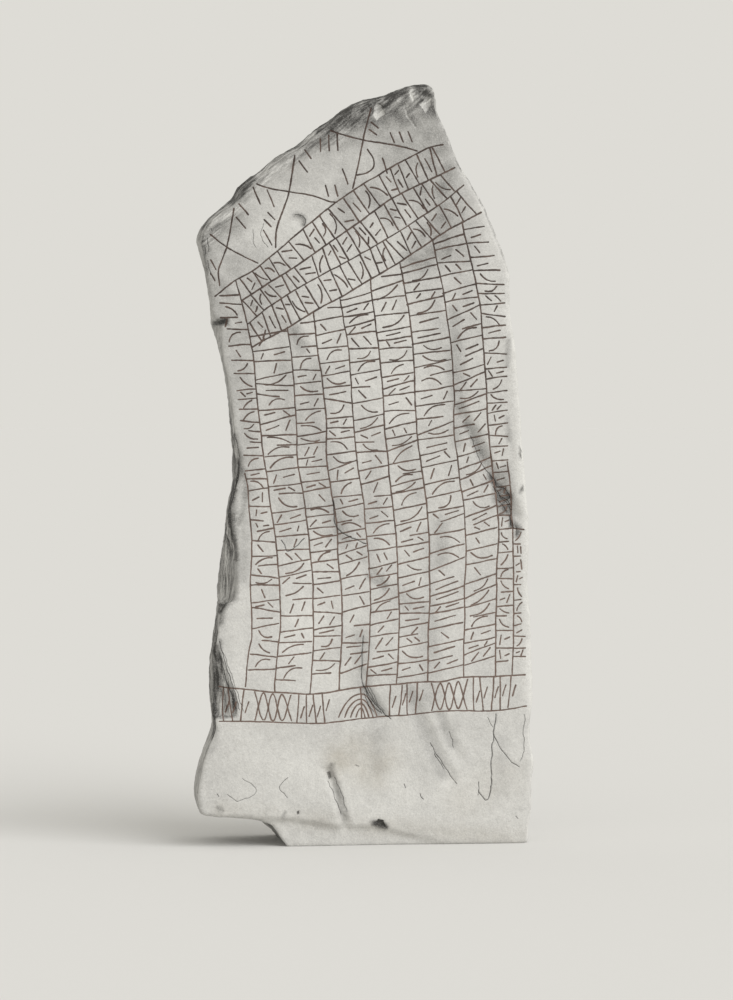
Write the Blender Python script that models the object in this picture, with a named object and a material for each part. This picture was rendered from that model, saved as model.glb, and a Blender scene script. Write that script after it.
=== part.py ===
"""A standing rune stone: one tall slab of pale granite with a slanting, broken top.

The front face carries three slanted ruled bands, nine ruled columns, a foot band and a top
field, all filled with rows of shallow V-cut strokes that spell nothing. The slab is one solid,
cut off flat at ground level, so that it stands on its own underside.

The front faces -Y, +X is to its right, +Z is up, and all lengths are in metres.
"""

import math
import random

import bmesh
import bpy
import numpy as np
from mathutils import Vector, noise
from mathutils.geometry import delaunay_2d_cdt

# ---- The slab ----------------------------------------------------------------------------
HEIGHT = 2.50               # over which the faces lean in
FRONT_FOOT_Y = -0.205       # the front face at the ground
FRONT_LEAN = 0.045          # how far the front face leans back on its way to the peak
BACK_FOOT_Y = 0.185         # the back face at the ground
BACK_LEAN = 0.100           # how much the slab thins from the back on its way up
FRONT_CROWN = 0.012         # how far the middle of the front stands proud of its edges
BACK_CROWN = 0.035
MIDDLE = (-0.0220, -0.0118)  # the middle of the slab's box in the frame of the outlines below

# The outlines are (x, z) points. The left side is broken: its front edge steps in at two long
# scars where the side has spalled off, and LEFT_SIDE is the corner that is still whole.
LEFT_EDGE = [(-0.574, 0.105), (-0.581, 0.165), (-0.553, 0.310), (-0.528, 0.375), (-0.517, 0.400),
             (-0.519, 0.426), (-0.518, 0.500), (-0.515, 0.560), (-0.515, 0.610), (-0.518, 0.650),
             (-0.518, 0.708), (-0.504, 0.770), (-0.482, 0.797), (-0.452, 0.808), (-0.446, 0.835),
             (-0.446, 0.900), (-0.448, 0.980), (-0.462, 1.034), (-0.467, 1.090), (-0.462, 1.130),
             (-0.448, 1.185), (-0.432, 1.230), (-0.428, 1.260), (-0.436, 1.301), (-0.450, 1.350),
             (-0.473, 1.532), (-0.491, 1.630), (-0.495, 1.713), (-0.523, 1.736), (-0.532, 1.802),
             (-0.544, 1.894), (-0.558, 1.965)]
LEFT_SIDE = [(-0.570, 0.105), (-0.585, 0.165), (-0.575, 0.224), (-0.553, 0.310), (-0.518, 0.390),
             (-0.528, 0.450), (-0.531, 0.520), (-0.530, 0.583), (-0.514, 0.708), (-0.499, 0.807),
             (-0.501, 0.853), (-0.481, 0.995), (-0.471, 1.090), (-0.466, 1.130), (-0.453, 1.179),
             (-0.452, 1.308), (-0.465, 1.433), (-0.478, 1.532), (-0.495, 1.611), (-0.524, 1.723),
             (-0.533, 1.802), (-0.551, 1.910), (-0.570, 1.975)]
TOP_EDGE = [(-0.572, 1.995), (-0.558, 2.034), (-0.531, 2.067), (-0.472, 2.113), (-0.451, 2.131),
            (-0.434, 2.163), (-0.408, 2.188), (-0.373, 2.208), (-0.337, 2.241), (-0.304, 2.270),
            (-0.234, 2.309), (-0.181, 2.356), (-0.134, 2.387), (-0.070, 2.433), (-0.034, 2.452),
            (0.032, 2.462), (0.060, 2.475), (0.099, 2.492), (0.140, 2.506), (0.190, 2.508),
            (0.212, 2.495)]
RIGHT_EDGE = [(0.522, 0.000), (0.532, 0.120), (0.541, 0.290), (0.528, 0.350), (0.536, 0.464),
              (0.533, 0.632), (0.524, 0.833), (0.525, 1.061), (0.514, 1.179), (0.504, 1.318),
              (0.495, 1.479), (0.479, 1.640), (0.466, 1.759), (0.462, 1.877), (0.443, 1.940),
              (0.416, 2.009), (0.380, 2.098), (0.330, 2.184), (0.294, 2.236), (0.265, 2.312),
              (0.243, 2.363), (0.226, 2.398), (0.217, 2.455)]
BASE_EDGE = [(-0.585, 0.105), (-0.500, 0.101), (-0.400, 0.092), (-0.335, 0.080), (-0.290, 0.0),
             (0.540, 0.0)]

TOP_BEVEL = 0.018           # height of the broken bevel along the slanting top
TOP_BEVEL_DEPTH = 0.050
RIGHT_BEVEL = 0.014
EDGE_DEPTH = 0.022          # depth of the worn front edge elsewhere
SCAR_DEPTH = 2.6            # a scar goes this many times deeper than it is wide
MOST_SCAR_DEPTH = 0.150
SIDE_ROUGHNESS = 0.014      # how far the corners of the sides wander to the front and back
STEADY_FOOT = 0.120         # below this height they keep their place
BACK_CORNER_INSET = 0.020
BACK_CORNER_DEPTH = 0.035   # the back corner lies this far in front of the back face
BACK_EDGE_INSET = 0.050

# ---- Worn hollows of the front face: points, half width, depth -----------------------------
HOLLOWS = [
    ([(0.285, 1.430), (0.327, 1.360), (0.367, 1.281), (0.407, 1.202), (0.440, 1.146),
      (0.470, 1.085)], 0.034, 0.013),
    ([(0.120, 0.500), (0.155, 0.418), (0.251, 0.214)], 0.036, 0.010),
    ([(0.222, 0.418), (0.281, 0.290)], 0.030, 0.007),
    ([(-0.155, 0.250), (-0.125, 0.181), (-0.092, 0.069)], 0.022, 0.012),
    ([(-0.034, 0.560), (-0.030, 0.517), (0.030, 0.431)], 0.030, 0.010),
    ([(-0.007, 0.905), (0.037, 0.860)], 0.016, 0.009),
    ([(0.020, 2.440), (0.030, 2.385)], 0.022, 0.010),
    ([(0.178, 2.470), (0.190, 2.420)], 0.020, 0.008),
    ([(-0.243, 2.052), (-0.239, 2.044)], 0.026, 0.008),
    ([(-0.520, 1.716), (-0.492, 1.720)], 0.014, 0.020),
]
# Where flakes have come off the back: the same, cut into the back face.
BACK_HOLLOWS = [
    ([(-0.20, 2.05), (0.05, 1.80)], 0.210, 0.022),
    ([(0.30, 1.20), (0.22, 0.75)], 0.190, 0.018),
    ([(-0.33, 1.15), (-0.30, 0.62)], 0.150, 0.020),
]
# A thin flake has come off low on the left: the right edge of its bed from bottom to top, how
# steeply the bed falls away to the left, and the ledge at its bottom.
FLAKE_EDGE = [(-0.448, 0.434), (-0.447, 0.471), (-0.470, 0.557), (-0.497, 0.625), (-0.512, 0.665)]
FLAKE_SLOPE = 0.55
MOST_FLAKE = 0.035
FLAKE_LEDGE = 0.012
# The ragged lip above the foot: below it the front face is broken back.
TOE_LIP = [(-0.521, 0.105), (-0.271, 0.096), (-0.118, 0.069), (0.001, 0.069), (0.098, 0.043),
           (0.234, 0.014), (0.520, 0.004)]
TOE_SETBACK = 0.016
TOE_SLOPE = 0.014           # height over which the lip falls back

# ---- Cracks: V-cut like the strokes, but natural ------------------------------------------
CRACKS = [
    [(0.408, 0.428), (0.394, 0.280), (0.391, 0.168), (0.374, 0.145), (0.349, 0.175)],
    [(0.401, 0.360), (0.441, 0.290), (0.486, 0.250)],
    [(-0.132, 1.136), (-0.113, 1.041), (-0.023, 0.991)],
    [(-0.034, 0.690), (-0.036, 0.545), (-0.012, 0.490), (0.056, 0.414)],
    [(-0.302, 1.005), (-0.276, 0.968), (-0.226, 1.011)],
]
CRACK_WIDTH = 0.006
CRACK_DEPTH = 0.004

# ---- Ruled lines ---------------------------------------------------------------------------
BAND_LINES = [
    [(-0.517, 1.803), (-0.457, 1.851), (-0.380, 1.896), (-0.200, 2.049), (-0.067, 2.148),
     (0.153, 2.279), (0.203, 2.299), (0.250, 2.307)],
    [(-0.427, 1.789), (-0.320, 1.858), (-0.090, 2.016), (0.080, 2.134), (0.190, 2.187),
     (0.285, 2.232)],
    [(-0.410, 1.713), (-0.320, 1.785), (-0.034, 1.947), (0.169, 2.069), (0.318, 2.182)],
    [(-0.394, 1.637), (-0.194, 1.752), (0.092, 1.917), (0.212, 1.999), (0.372, 2.089)],
]
# The lines between the columns, from the foot up. The first one runs on across the bands.
COLUMN_LINES = [
    [(-0.323, 0.512), (-0.325, 0.548), (-0.305, 0.751), (-0.314, 0.954), (-0.331, 1.079),
     (-0.352, 1.237), (-0.383, 1.479), (-0.391, 1.597), (-0.412, 1.715), (-0.451, 1.855)],
    [(-0.209, 0.508), (-0.197, 0.737), (-0.204, 0.947), (-0.227, 1.138), (-0.247, 1.256),
     (-0.251, 1.387), (-0.265, 1.571), (-0.281, 1.702)],
    [(-0.114, 0.513), (-0.103, 0.743), (-0.117, 1.006), (-0.130, 1.131), (-0.153, 1.269),
     (-0.157, 1.427), (-0.176, 1.590), (-0.195, 1.748)],
    [(-0.024, 0.522), (-0.008, 0.790), (-0.029, 1.111), (-0.053, 1.269), (-0.070, 1.479),
     (-0.080, 1.637), (-0.109, 1.801)],
    [(0.075, 0.525), (0.085, 0.716), (0.077, 1.005), (0.043, 1.347), (0.030, 1.545),
     (0.010, 1.715), (-0.008, 1.860)],
    [(0.179, 0.537), (0.188, 0.919), (0.183, 1.090), (0.147, 1.360), (0.138, 1.532),
     (0.126, 1.709), (0.089, 1.916)],
    [(0.299, 0.549), (0.307, 0.945), (0.306, 1.083), (0.286, 1.228), (0.268, 1.373),
     (0.270, 1.499), (0.248, 1.729), (0.199, 1.999)],
    [(0.405, 0.551), (0.413, 0.918), (0.416, 1.063), (0.388, 1.347), (0.369, 1.631),
     (0.353, 1.799), (0.297, 2.045)],
]
OUTER_LEFT = [(-0.420, 0.526), (-0.411, 0.634), (-0.398, 0.699), (-0.404, 0.843),
              (-0.399, 0.991), (-0.411, 1.165), (-0.423, 1.224)]
OUTER_RIGHT = [(0.465, 0.557), (0.469, 0.740), (0.463, 1.100), (0.453, 1.215), (0.445, 1.261)]
FOOT_TOP = [(-0.505, 0.526), (-0.323, 0.508), (-0.208, 0.501), (-0.012, 0.522), (0.174, 0.537),
            (0.241, 0.538), (0.308, 0.550), (0.508, 0.555)]
FOOT_BOTTOM = [(-0.508, 0.414), (-0.377, 0.411), (-0.205, 0.404), (-0.112, 0.410),
               (-0.013, 0.419), (0.121, 0.429), (0.254, 0.440), (0.389, 0.436), (0.516, 0.454)]
# The three big crosses of the top field: two strokes each.
CROSSES = [
    ([(-0.452, 2.114), (-0.478, 1.963), (-0.503, 1.891), (-0.501, 1.838)],
     [(-0.542, 2.015), (-0.478, 1.966), (-0.401, 1.924), (-0.376, 1.912)]),
    ([(-0.253, 2.285), (-0.272, 2.148), (-0.316, 2.023), (-0.319, 1.964)],
     [(-0.389, 2.177), (-0.348, 2.160), (-0.197, 2.132), (-0.144, 2.113), (-0.117, 2.111)]),
    ([(0.000, 2.432), (-0.028, 2.320), (-0.064, 2.156)],
     [(-0.138, 2.347), (-0.081, 2.329), (-0.024, 2.314), (0.072, 2.301), (0.148, 2.282)]),
]

# Short strokes beside the arms of the crosses: the first one's start, their reach, the step from
# one to the next, and how many.
TICK_GROUPS = [
    ((-0.004, 2.375), (0.025, -0.019), (-0.006, -0.023), 2),
    ((-0.171, 2.330), (0.001, -0.052), (0.028, 0.002), 3),
    ((0.059, 2.342), (0.014, -0.034), (0.030, 0.002), 3),
    ((-0.154, 2.168), (0.010, -0.036), (0.030, 0.000), 2),
    ((-0.098, 2.222), (0.017, -0.050), (0.131, 0.036), 2),
    ((-0.229, 2.292), (0.028, -0.037), (-0.012, -0.045), 2),
    ((-0.391, 2.160), (0.023, -0.055), (0.046, -0.008), 2),
    ((-0.343, 2.078), (0.023, -0.024), (-0.012, -0.023), 2),
    ((-0.358, 2.020), (0.028, -0.049), (0.000, 0.000), 1),
    ((-0.438, 2.106), (0.031, -0.036), (-0.009, -0.044), 2),
    ((-0.531, 1.922), (0.018, -0.032), (-0.004, -0.036), 3),
]
FIELD_BOW = ((-0.016, 2.287), (-0.050, 2.201), 0.040)
# The borders of the outermost strokes, where no line is ruled.
LEFT_BORDER = [(-0.418, 0.540), (-0.398, 0.699), (-0.404, 0.843), (-0.399, 0.991),
               (-0.411, 1.165), (-0.423, 1.240), (-0.446, 1.480), (-0.474, 1.640),
               (-0.500, 1.700), (-0.505, 1.790)]
RIGHT_BORDER = [(0.465, 0.560), (0.469, 0.740), (0.463, 1.100), (0.453, 1.215), (0.449, 1.600),
                (0.440, 1.860), (0.385, 1.990), (0.366, 2.060)]
EDGE_BORDER = [(0.512, 0.560), (0.505, 1.060), (0.484, 1.300)]
# The foot band from left to right: start, end and pattern, with the nest of arches between.
FOOT_RUNS = [(-0.497, -0.407, "staves"), (-0.392, -0.272, "lattice"), (-0.252, -0.132, "staves"),
             (0.052, 0.172, "staves"), (0.192, 0.312, "lattice"), (0.335, 0.480, "staves")]
FOOT_PITCH = 0.030
NEST = -0.041
NEST_ARCHES = ((0.074, 0.077), (0.054, 0.060), (0.035, 0.045), (0.017, 0.030))  # reach and rise
NEST_RIGHT = 0.72           # their reach to the right, as a share

# ---- Strokes -------------------------------------------------------------------------------
RULE_WIDTH = 0.0065
STROKE_WIDTH = 0.0065
STROKE_DEPTH = 0.0030
ROW_PITCH = 0.0430          # between the rungs of a column
STAVE_PITCH = 0.0340        # between the staves of a band
SHORT_RUNGS = 0.16          # the share of rungs that stop partway
LOWEST_CELL = 0.024         # a cell lower than this holds no free strokes
LINE_GAP = 0.0065           # a stroke stops this far from a ruled line
SHORTEST_STROKE = 0.020
SHORTEST_CARVED = 0.050     # free strokes shorter than this are left to the finer model
EDGE_MARGIN = 0.006         # a stroke keeps this far inside the edge of the front face
TRIM_STEP = 0.004

GRID = 0.100                # spacing of the plain points of the front face
BACK_GRID = 0.190
STATION = 0.075             # most distance between two points of the outline
CLEAR_OF_CUTS = 0.016       # plain points keep this far from a cut

GRANITE = (0.60, 0.60, 0.575)


# ---- Reading the outlines --------------------------------------------------------------------
def height_at(line, x):
    """Height of a line given as (x, z) points from left to right."""
    return np.interp(x, [p[0] for p in line], [p[1] for p in line])


def x_at(line, z):
    """Place of a line given as (x, z) points from bottom to top."""
    return np.interp(z, [p[1] for p in line], [p[0] for p in line])


def distance_to(points, line):
    """Distance of many (x, z) points to a line of straight pieces."""
    nearest = np.full(len(points), np.inf)
    for start, end in zip(line[:-1], line[1:]):
        a = np.array(start)
        along = np.array(end) - a
        share = np.clip((points - a) @ along / max(along @ along, 1e-12), 0.0, 1.0)
        gap = points - (a + share[:, None] * along)
        nearest = np.minimum(nearest, np.hypot(gap[:, 0], gap[:, 1]))
    return nearest


def within(points, outline, margin):
    """Which points lie inside a closed outline, at least margin from it."""
    crossings = np.zeros(len(points), dtype=int)
    for (x0, z0), (x1, z1) in zip(outline, np.roll(outline, -1, axis=0)):
        spans = (z0 > points[:, 1]) != (z1 > points[:, 1])
        if z1 != z0:
            at = x0 + (points[:, 1] - z0) * (x1 - x0) / (z1 - z0)
            crossings += spans & (points[:, 0] < at)
    closed = np.vstack([outline, outline[:1]])
    return (crossings % 2 == 1) & (distance_to(points, closed) > margin)


# ---- The two faces ---------------------------------------------------------------------------
def worn_away(points, hollows):
    """How much the hollows take off at each point."""
    worn = np.zeros(len(points))
    for line, half_width, depth in hollows:
        near = np.clip(1.0 - (distance_to(points, line) / half_width) ** 2, 0.0, 1.0)
        worn = np.maximum(worn, depth * near ** 2)
    return worn


def flaked_off(points):
    """How much the flake low on the left has taken off at each point."""
    x, z = points[:, 0], points[:, 1]
    fall = np.clip((x_at(FLAKE_EDGE, z) - x) * FLAKE_SLOPE, 0.0, MOST_FLAKE)
    ledge = np.clip((z - FLAKE_EDGE[0][1]) / FLAKE_LEDGE + 1.0, 0.0, 1.0)
    return fall * ledge * (z < FLAKE_EDGE[-1][1])


def front_y(points):
    """The front face without its strokes: a leaning plane, crowned, rolling and worn."""
    x, z = points[:, 0], points[:, 1]
    y = FRONT_FOOT_Y + FRONT_LEAN * z / HEIGHT - FRONT_CROWN * np.cos(2.9 * x)
    y += 0.0050 * np.sin(3.1 * x + 1.7 * z + 0.4)
    y += 0.0035 * np.sin(5.2 * z - 4.3 * x + 1.9)
    y += 0.0022 * np.sin(9.0 * x + 4.5 * z + 0.7)
    lip = height_at(TOE_LIP, x)
    below = np.clip((lip - z) / TOE_SLOPE, 0.0, 1.0)
    y += worn_away(points, HOLLOWS) + flaked_off(points)
    return y + below * np.minimum(TOE_SETBACK, 0.3 * lip)


def flake_lines():
    """The lines that bound the bed of the flake: its edge, and its ledge's two."""
    x, top = FLAKE_EDGE[0]
    reach = [x - 0.02 * i for i in range(3)]
    return [FLAKE_EDGE[:-1], [(a, top) for a in reach], [(a, top - FLAKE_LEDGE) for a in reach]]


def back_y(points):
    """The plain back face: crowned more than the front, with a slow roll."""
    x, z = points[:, 0], points[:, 1]
    y = BACK_FOOT_Y - BACK_LEAN * z / HEIGHT - BACK_CROWN * (1.0 - np.cos(2.6 * x))
    y += 0.0090 * np.sin(2.3 * z + 4.0 * x + 1.1)
    y += 0.0060 * np.sin(6.1 * z - 5.0 * x)
    return y - worn_away(points, BACK_HOLLOWS)


# ---- Strokes of the front face: a stroke is (kind, points) --------------------------------------
def column_line(number):
    """One ruled column line, its ends set on the line of the foot and on a line of the bands."""
    line = COLUMN_LINES[number]
    foot_x = line[0][0]
    top_x = line[-1][0]
    top = BAND_LINES[0] if number == 0 else BAND_LINES[3]
    ends = [(foot_x, float(height_at(FOOT_TOP, foot_x))), (top_x, float(height_at(top, top_x)))]
    return ends[:1] + line[1:-1] + ends[1:]


def column_lines():
    return [column_line(number) for number in range(len(COLUMN_LINES))]


def ruled_lines():
    lines = BAND_LINES + column_lines()
    lines += [OUTER_LEFT, OUTER_RIGHT, FOOT_TOP, FOOT_BOTTOM]
    return [("rule", line) for line in lines]


def bow(start, end, bulge, pieces=4):
    """A bowed stroke from start to end, its middle pushed sideways by bulge."""
    a = np.array(start)
    b = np.array(end)
    along = b - a
    side = np.array((-along[1], along[0])) / max(np.hypot(*along), 1e-9)
    steps = [i / pieces for i in range(pieces + 1)]
    return [tuple(a + t * along + side * bulge * 4.0 * t * (1.0 - t)) for t in steps]


def fill_cell(draw, corner, across, down):
    """Free strokes between two rungs, clear of them and of each other.

    corner is where the cell starts, across and down are its two sides as vectors.
    """
    corner = np.array(corner)
    across = np.array(across)
    down = np.array(down)
    tall = float(np.hypot(*down))
    if tall < LOWEST_CELL:
        return []

    def place(u, v):
        return tuple(corner + u * across + v * down)

    def tick(u, lean):
        low = draw.uniform(0.18, 0.32)
        high = draw.uniform(0.68, 0.82)
        return ("tick", [place(u - lean / 2, low), place(u + lean / 2, high)])

    def half(u0, u1):
        v = draw.uniform(0.40, 0.60)
        return ("tick", [place(u0, v + 0.06), place(u1, v - 0.06)])

    choice = draw.random()
    lean = draw.choice((-1, 1)) * draw.uniform(0.06, 0.26)
    if choice < 0.13:
        return [half(0.12, draw.uniform(0.42, 0.54)), tick(draw.uniform(0.70, 0.84), lean)]
    if choice < 0.25:
        return [half(draw.uniform(0.46, 0.58), 0.88), tick(draw.uniform(0.16, 0.30), lean)]
    if choice < 0.37:
        return [tick(draw.uniform(0.20, 0.38), lean), tick(draw.uniform(0.58, 0.80), lean)]
    if choice < 0.50:
        return [tick(draw.uniform(0.22, 0.78), lean)]
    if choice < 0.60:
        return [half(draw.uniform(0.12, 0.24), draw.uniform(0.66, 0.88))]
    bulge = draw.uniform(0.06, 0.15) * float(np.hypot(*across))
    bulge = draw.choice((-1, 1)) * min(bulge, 0.28 * tall)
    u0 = draw.uniform(0.08, 0.30)
    u1 = draw.uniform(0.70, 0.90)
    if choice < 0.84:
        return [("bow", bow(place(u0, 0.80), place(u1, 0.20), bulge))]
    return [("bow", bow(place(u0, 0.22), place(u1, 0.78), bulge))]


def cut_short(draw, rung):
    """A rung, or now and then only the part of it that starts at one of its ends."""
    start, end = rung if draw.random() < 0.5 else rung[::-1]
    if draw.random() > SHORT_RUNGS:
        return [start, end]
    share = draw.uniform(0.50, 0.75)
    return [start, (start[0] + share * (end[0] - start[0]), start[1] + share * (end[1] - start[1]))]


def ladder(draw, left, right, top, bottom, tilt):
    """A column of strokes between two upright lines: rungs with free strokes between them."""
    strokes = []
    z = top - 0.5 * ROW_PITCH
    last = None
    while z > bottom + 0.4 * ROW_PITCH:
        slope = math.tan(math.radians(draw.gauss(tilt, 5.0)))
        x0 = float(x_at(left, z)) + LINE_GAP
        x1 = float(x_at(right, z)) - LINE_GAP
        rise = 0.5 * slope * (x1 - x0)
        rung = ((x0, z - rise), (x1, z + rise))
        if last is not None:
            down = ((rung[0][0] - last[0][0] + rung[1][0] - last[1][0]) / 2,
                    (rung[0][1] - last[0][1] + rung[1][1] - last[1][1]) / 2)
            across = (last[1][0] - last[0][0], last[1][1] - last[0][1])
            strokes += fill_cell(draw, last[0], across, down)
        strokes.append(("stave", cut_short(draw, rung)))
        last = rung
        z -= ROW_PITCH * draw.uniform(0.66, 1.32)
    return strokes


def under_band(number, band, left, right, tilt):
    """Rungs in the corner that a slanted band leaves above the first whole rung of a column."""
    draw = random.Random(140 + number)
    strokes = []
    z = left[-1][1] + 0.40 * ROW_PITCH
    while z < right[-1][1] - 0.25 * ROW_PITCH:
        slope = math.tan(math.radians(draw.gauss(tilt, 4.0)))
        end = float(x_at(right, z)) - LINE_GAP
        places = np.linspace(float(x_at(left, z)) + LINE_GAP, end, 40)
        levels = z - slope * (end - places)
        clear = np.flatnonzero(height_at(band, places) - levels > 2 * LINE_GAP)
        if len(clear) and end - places[clear[0]] > SHORTEST_STROKE:
            strokes.append(("stave", [(float(places[clear[0]]), float(levels[clear[0]])), (end, z)]))
        z += ROW_PITCH * draw.uniform(0.66, 0.90)
    return strokes


def column_strokes():
    strokes = []
    lines = column_lines()
    for number, (left, right) in enumerate(zip(lines[:-1], lines[1:])):
        draw = random.Random(100 + number)
        top = min(left[-1][1], right[-1][1])
        bottom = max(left[0][1], right[0][1])
        tilt = 4.0 + 1.8 * number
        strokes += ladder(draw, left, right, top, bottom, tilt)
        if number > 0:
            strokes += under_band(number, BAND_LINES[3], left, right, tilt)
    strokes += ladder(random.Random(120), LEFT_BORDER, lines[0], 1.800, 0.525, 0.0)
    strokes += under_band(20, BAND_LINES[0], LEFT_BORDER, lines[0], 0.0)
    strokes += ladder(random.Random(121), lines[-1], RIGHT_BORDER, 2.050, 0.565, 3.0)
    strokes += ladder(random.Random(122), RIGHT_BORDER[:3], EDGE_BORDER, 1.060, 0.580, 2.0)
    return strokes


def band_strokes():
    """Staves across the three slanted bands, about square to the bands, with free strokes between."""
    strokes = []
    for number, (upper, lower) in enumerate(zip(BAND_LINES[:-1], BAND_LINES[1:])):
        draw = random.Random(200 + number)
        x = lower[0][0] + 0.030
        last = None
        while x < lower[-1][0] - 0.02:
            foot = np.array((x, float(height_at(lower, x))))
            ahead = np.array((x + 0.03, float(height_at(lower, x + 0.03)))) - foot
            turn = math.radians(90.0 + draw.gauss(0.0, 6.0)) + math.atan2(ahead[1], ahead[0])
            square = np.array((math.cos(turn), math.sin(turn)))
            tall = 0.0
            for _ in range(4):
                head = foot + square * tall
                tall += 0.8 * float(height_at(upper, head[0]) - head[1])
            head = foot + square * (tall - LINE_GAP)
            foot = foot + square * LINE_GAP
            if last is not None:
                down = (foot - last[1] + head - last[0]) / 2
                strokes += fill_cell(draw, last[1], last[0] - last[1], down)
            strokes.append(("stave", [tuple(foot), tuple(head)]))
            last = (head, foot)
            x += STAVE_PITCH * draw.uniform(0.70, 1.20)
    return strokes


def foot_strokes():
    """The foot band: runs of leaning staves, stretches of zigzag lattice, and one nest of arches."""
    strokes = []
    draw = random.Random(300)
    for start, end, pattern in FOOT_RUNS:
        count = round((end - start) / FOOT_PITCH)
        marks = [start + (end - start) * i / count for i in range(count + 1)]
        lows = [float(height_at(FOOT_BOTTOM, x)) + LINE_GAP for x in marks]
        highs = [float(height_at(FOOT_TOP, x)) - LINE_GAP for x in marks]
        if pattern == "lattice":
            strokes.append(("cross", [(x, highs[i] if i % 2 else lows[i]) for i, x in enumerate(marks)]))
            strokes.append(("cross", [(x, lows[i] if i % 2 else highs[i]) for i, x in enumerate(marks)]))
            continue
        for i, x in enumerate(marks[:-1]):
            lean = draw.uniform(-0.010, 0.016)
            strokes.append(("stave", [(x, lows[i]), (x + lean, highs[i])]))
            middle = (lows[i] + highs[i]) / 2 + draw.uniform(-0.015, 0.015)
            inner = x + lean / 2 + 0.3 * FOOT_PITCH
            strokes.append(("tick", [(inner, middle - 0.022), (inner + 0.4 * FOOT_PITCH, middle + 0.014)]))
    floor = float(height_at(FOOT_BOTTOM, NEST)) + LINE_GAP
    for reach, rise in NEST_ARCHES:
        arch = []
        for turn in range(9):
            angle = math.pi * turn / 8
            side = reach * math.cos(angle) * (1.0 if turn < 4 else NEST_RIGHT)
            arch.append((NEST - side, floor + rise * abs(math.sin(angle)) ** 1.7))
        strokes.append(("arch", arch))
    strokes.append(("stave", [(NEST, floor + 0.002), (NEST, floor + 0.092)]))
    return strokes


def field_strokes():
    """The top field: three big crosses, with groups of short strokes beside their arms."""
    strokes = []
    for pair in CROSSES:
        strokes += [("cross", line) for line in pair]
    for start, reach, step, count in TICK_GROUPS:
        for i in range(count):
            a = (start[0] + i * step[0], start[1] + i * step[1])
            strokes.append(("tick", [a, (a[0] + reach[0], a[1] + reach[1])]))
    strokes.append(("bow", bow(*FIELD_BOW)))
    return strokes


def trim(line, outline):
    """The longest run of a line that lies on the front face, clear of its edge."""
    fine = []
    for a, b in zip(line[:-1], line[1:]):
        pieces = max(1, math.ceil(math.dist(a, b) / TRIM_STEP))
        for i in range(pieces):
            share = i / pieces
            fine.append((i == 0, a[0] + share * (b[0] - a[0]), a[1] + share * (b[1] - a[1])))
    fine.append((True, *line[-1]))
    inside = within(np.array([p[1:] for p in fine]), outline, EDGE_MARGIN)
    runs = [[]]
    for point, is_inside in zip(fine, inside):
        if is_inside:
            runs[-1].append(point)
        elif runs[-1]:
            runs.append([])
    kept = max(runs, key=len)
    return [p[1:] for p in kept if p[0] or p in (kept[0], kept[-1])]


def all_strokes(outline):
    strokes = ruled_lines() + column_strokes() + band_strokes() + foot_strokes() + field_strokes()
    strokes += [("crack", line) for line in CRACKS]
    trimmed = [(kind, trim(line, outline)) for kind, line in strokes]
    return [(kind, line) for kind, line in trimmed
            if len(line) > 1 and math.dist(line[0], line[-1]) > SHORTEST_STROKE / 2]


# ---- The front sheet ---------------------------------------------------------------------------
WIDTHS = {"rule": RULE_WIDTH, "crack": CRACK_WIDTH}
DEPTHS = {"crack": CRACK_DEPTH}


def trough(line, width):
    """A V-cut along a line: its floor, and its rim as a closed loop."""
    points = np.array(line, dtype=float)
    half = width / 2
    steps = np.diff(points, axis=0)
    steps /= np.hypot(steps[:, 0], steps[:, 1])[:, None]
    ways = np.vstack([steps[:1], (steps[:-1] + steps[1:]) / 2, steps[-1:]])
    ways /= np.hypot(ways[:, 0], ways[:, 1])[:, None]
    sides = np.column_stack([-ways[:, 1], ways[:, 0]]) * half
    floor = points.copy()
    floor[0] += steps[0] * half
    floor[-1] -= steps[-1] * half
    rim = np.vstack([points + sides, (points - sides)[::-1]])
    return floor, rim


def cut_depths(points, troughs):
    """How deep the strokes cut at each point."""
    depths = np.zeros(len(points))
    for floor, width, depth in troughs:
        low = floor.min(axis=0) - width
        high = floor.max(axis=0) + width
        near = np.flatnonzero(np.all((points > low) & (points < high), axis=1))
        if len(near):
            gap = distance_to(points[near], floor)
            cut = depth * np.clip(1.0 - gap / (width / 2), 0.0, 1.0)
            depths[near] = np.maximum(depths[near], cut)
    return depths


def spread_points(outline, spacing, keep_clear, clearance):
    """Plain points inside an outline, in staggered rows, clear of the outline and of the cuts."""
    low = outline.min(axis=0)
    high = outline.max(axis=0)
    rows = []
    for j, z in enumerate(np.arange(low[1] + spacing / 2, high[1], spacing * 0.866)):
        for x in np.arange(low[0] + spacing * (0.25 + 0.5 * (j % 2)), high[0], spacing):
            rows.append((x, z))
    points = np.array(rows)
    points = points[within(points, outline, spacing * 0.45)]
    for line in keep_clear:
        points = points[distance_to(points, line) > clearance]
    return points


def triangulate(outline, points, loops, chains):
    """Triangles of a flat sheet: its outline, plain points, closed rims and open floor lines."""
    places = [Vector(p) for p in outline]
    edges = [(i, (i + 1) % len(outline)) for i in range(len(outline))]
    for loop in loops:
        first = len(places)
        places += [Vector(p) for p in loop]
        edges += [(first + i, first + (i + 1) % len(loop)) for i in range(len(loop))]
    for chain in chains:
        first = len(places)
        places += [Vector(p) for p in chain]
        edges += [(first + i, first + i + 1) for i in range(len(chain) - 1)]
    places += [Vector(p) for p in points]
    result = delaunay_2d_cdt(places, edges, [], 1, 1e-5)
    flat = np.array([tuple(v) for v in result[0]])
    sources = {}
    for index, origins in enumerate(result[3]):
        for origin in origins:
            sources[origin] = index
    rim = [sources[i] for i in range(len(outline))]
    return flat, [tuple(face) for face in result[2]], rim


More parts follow.
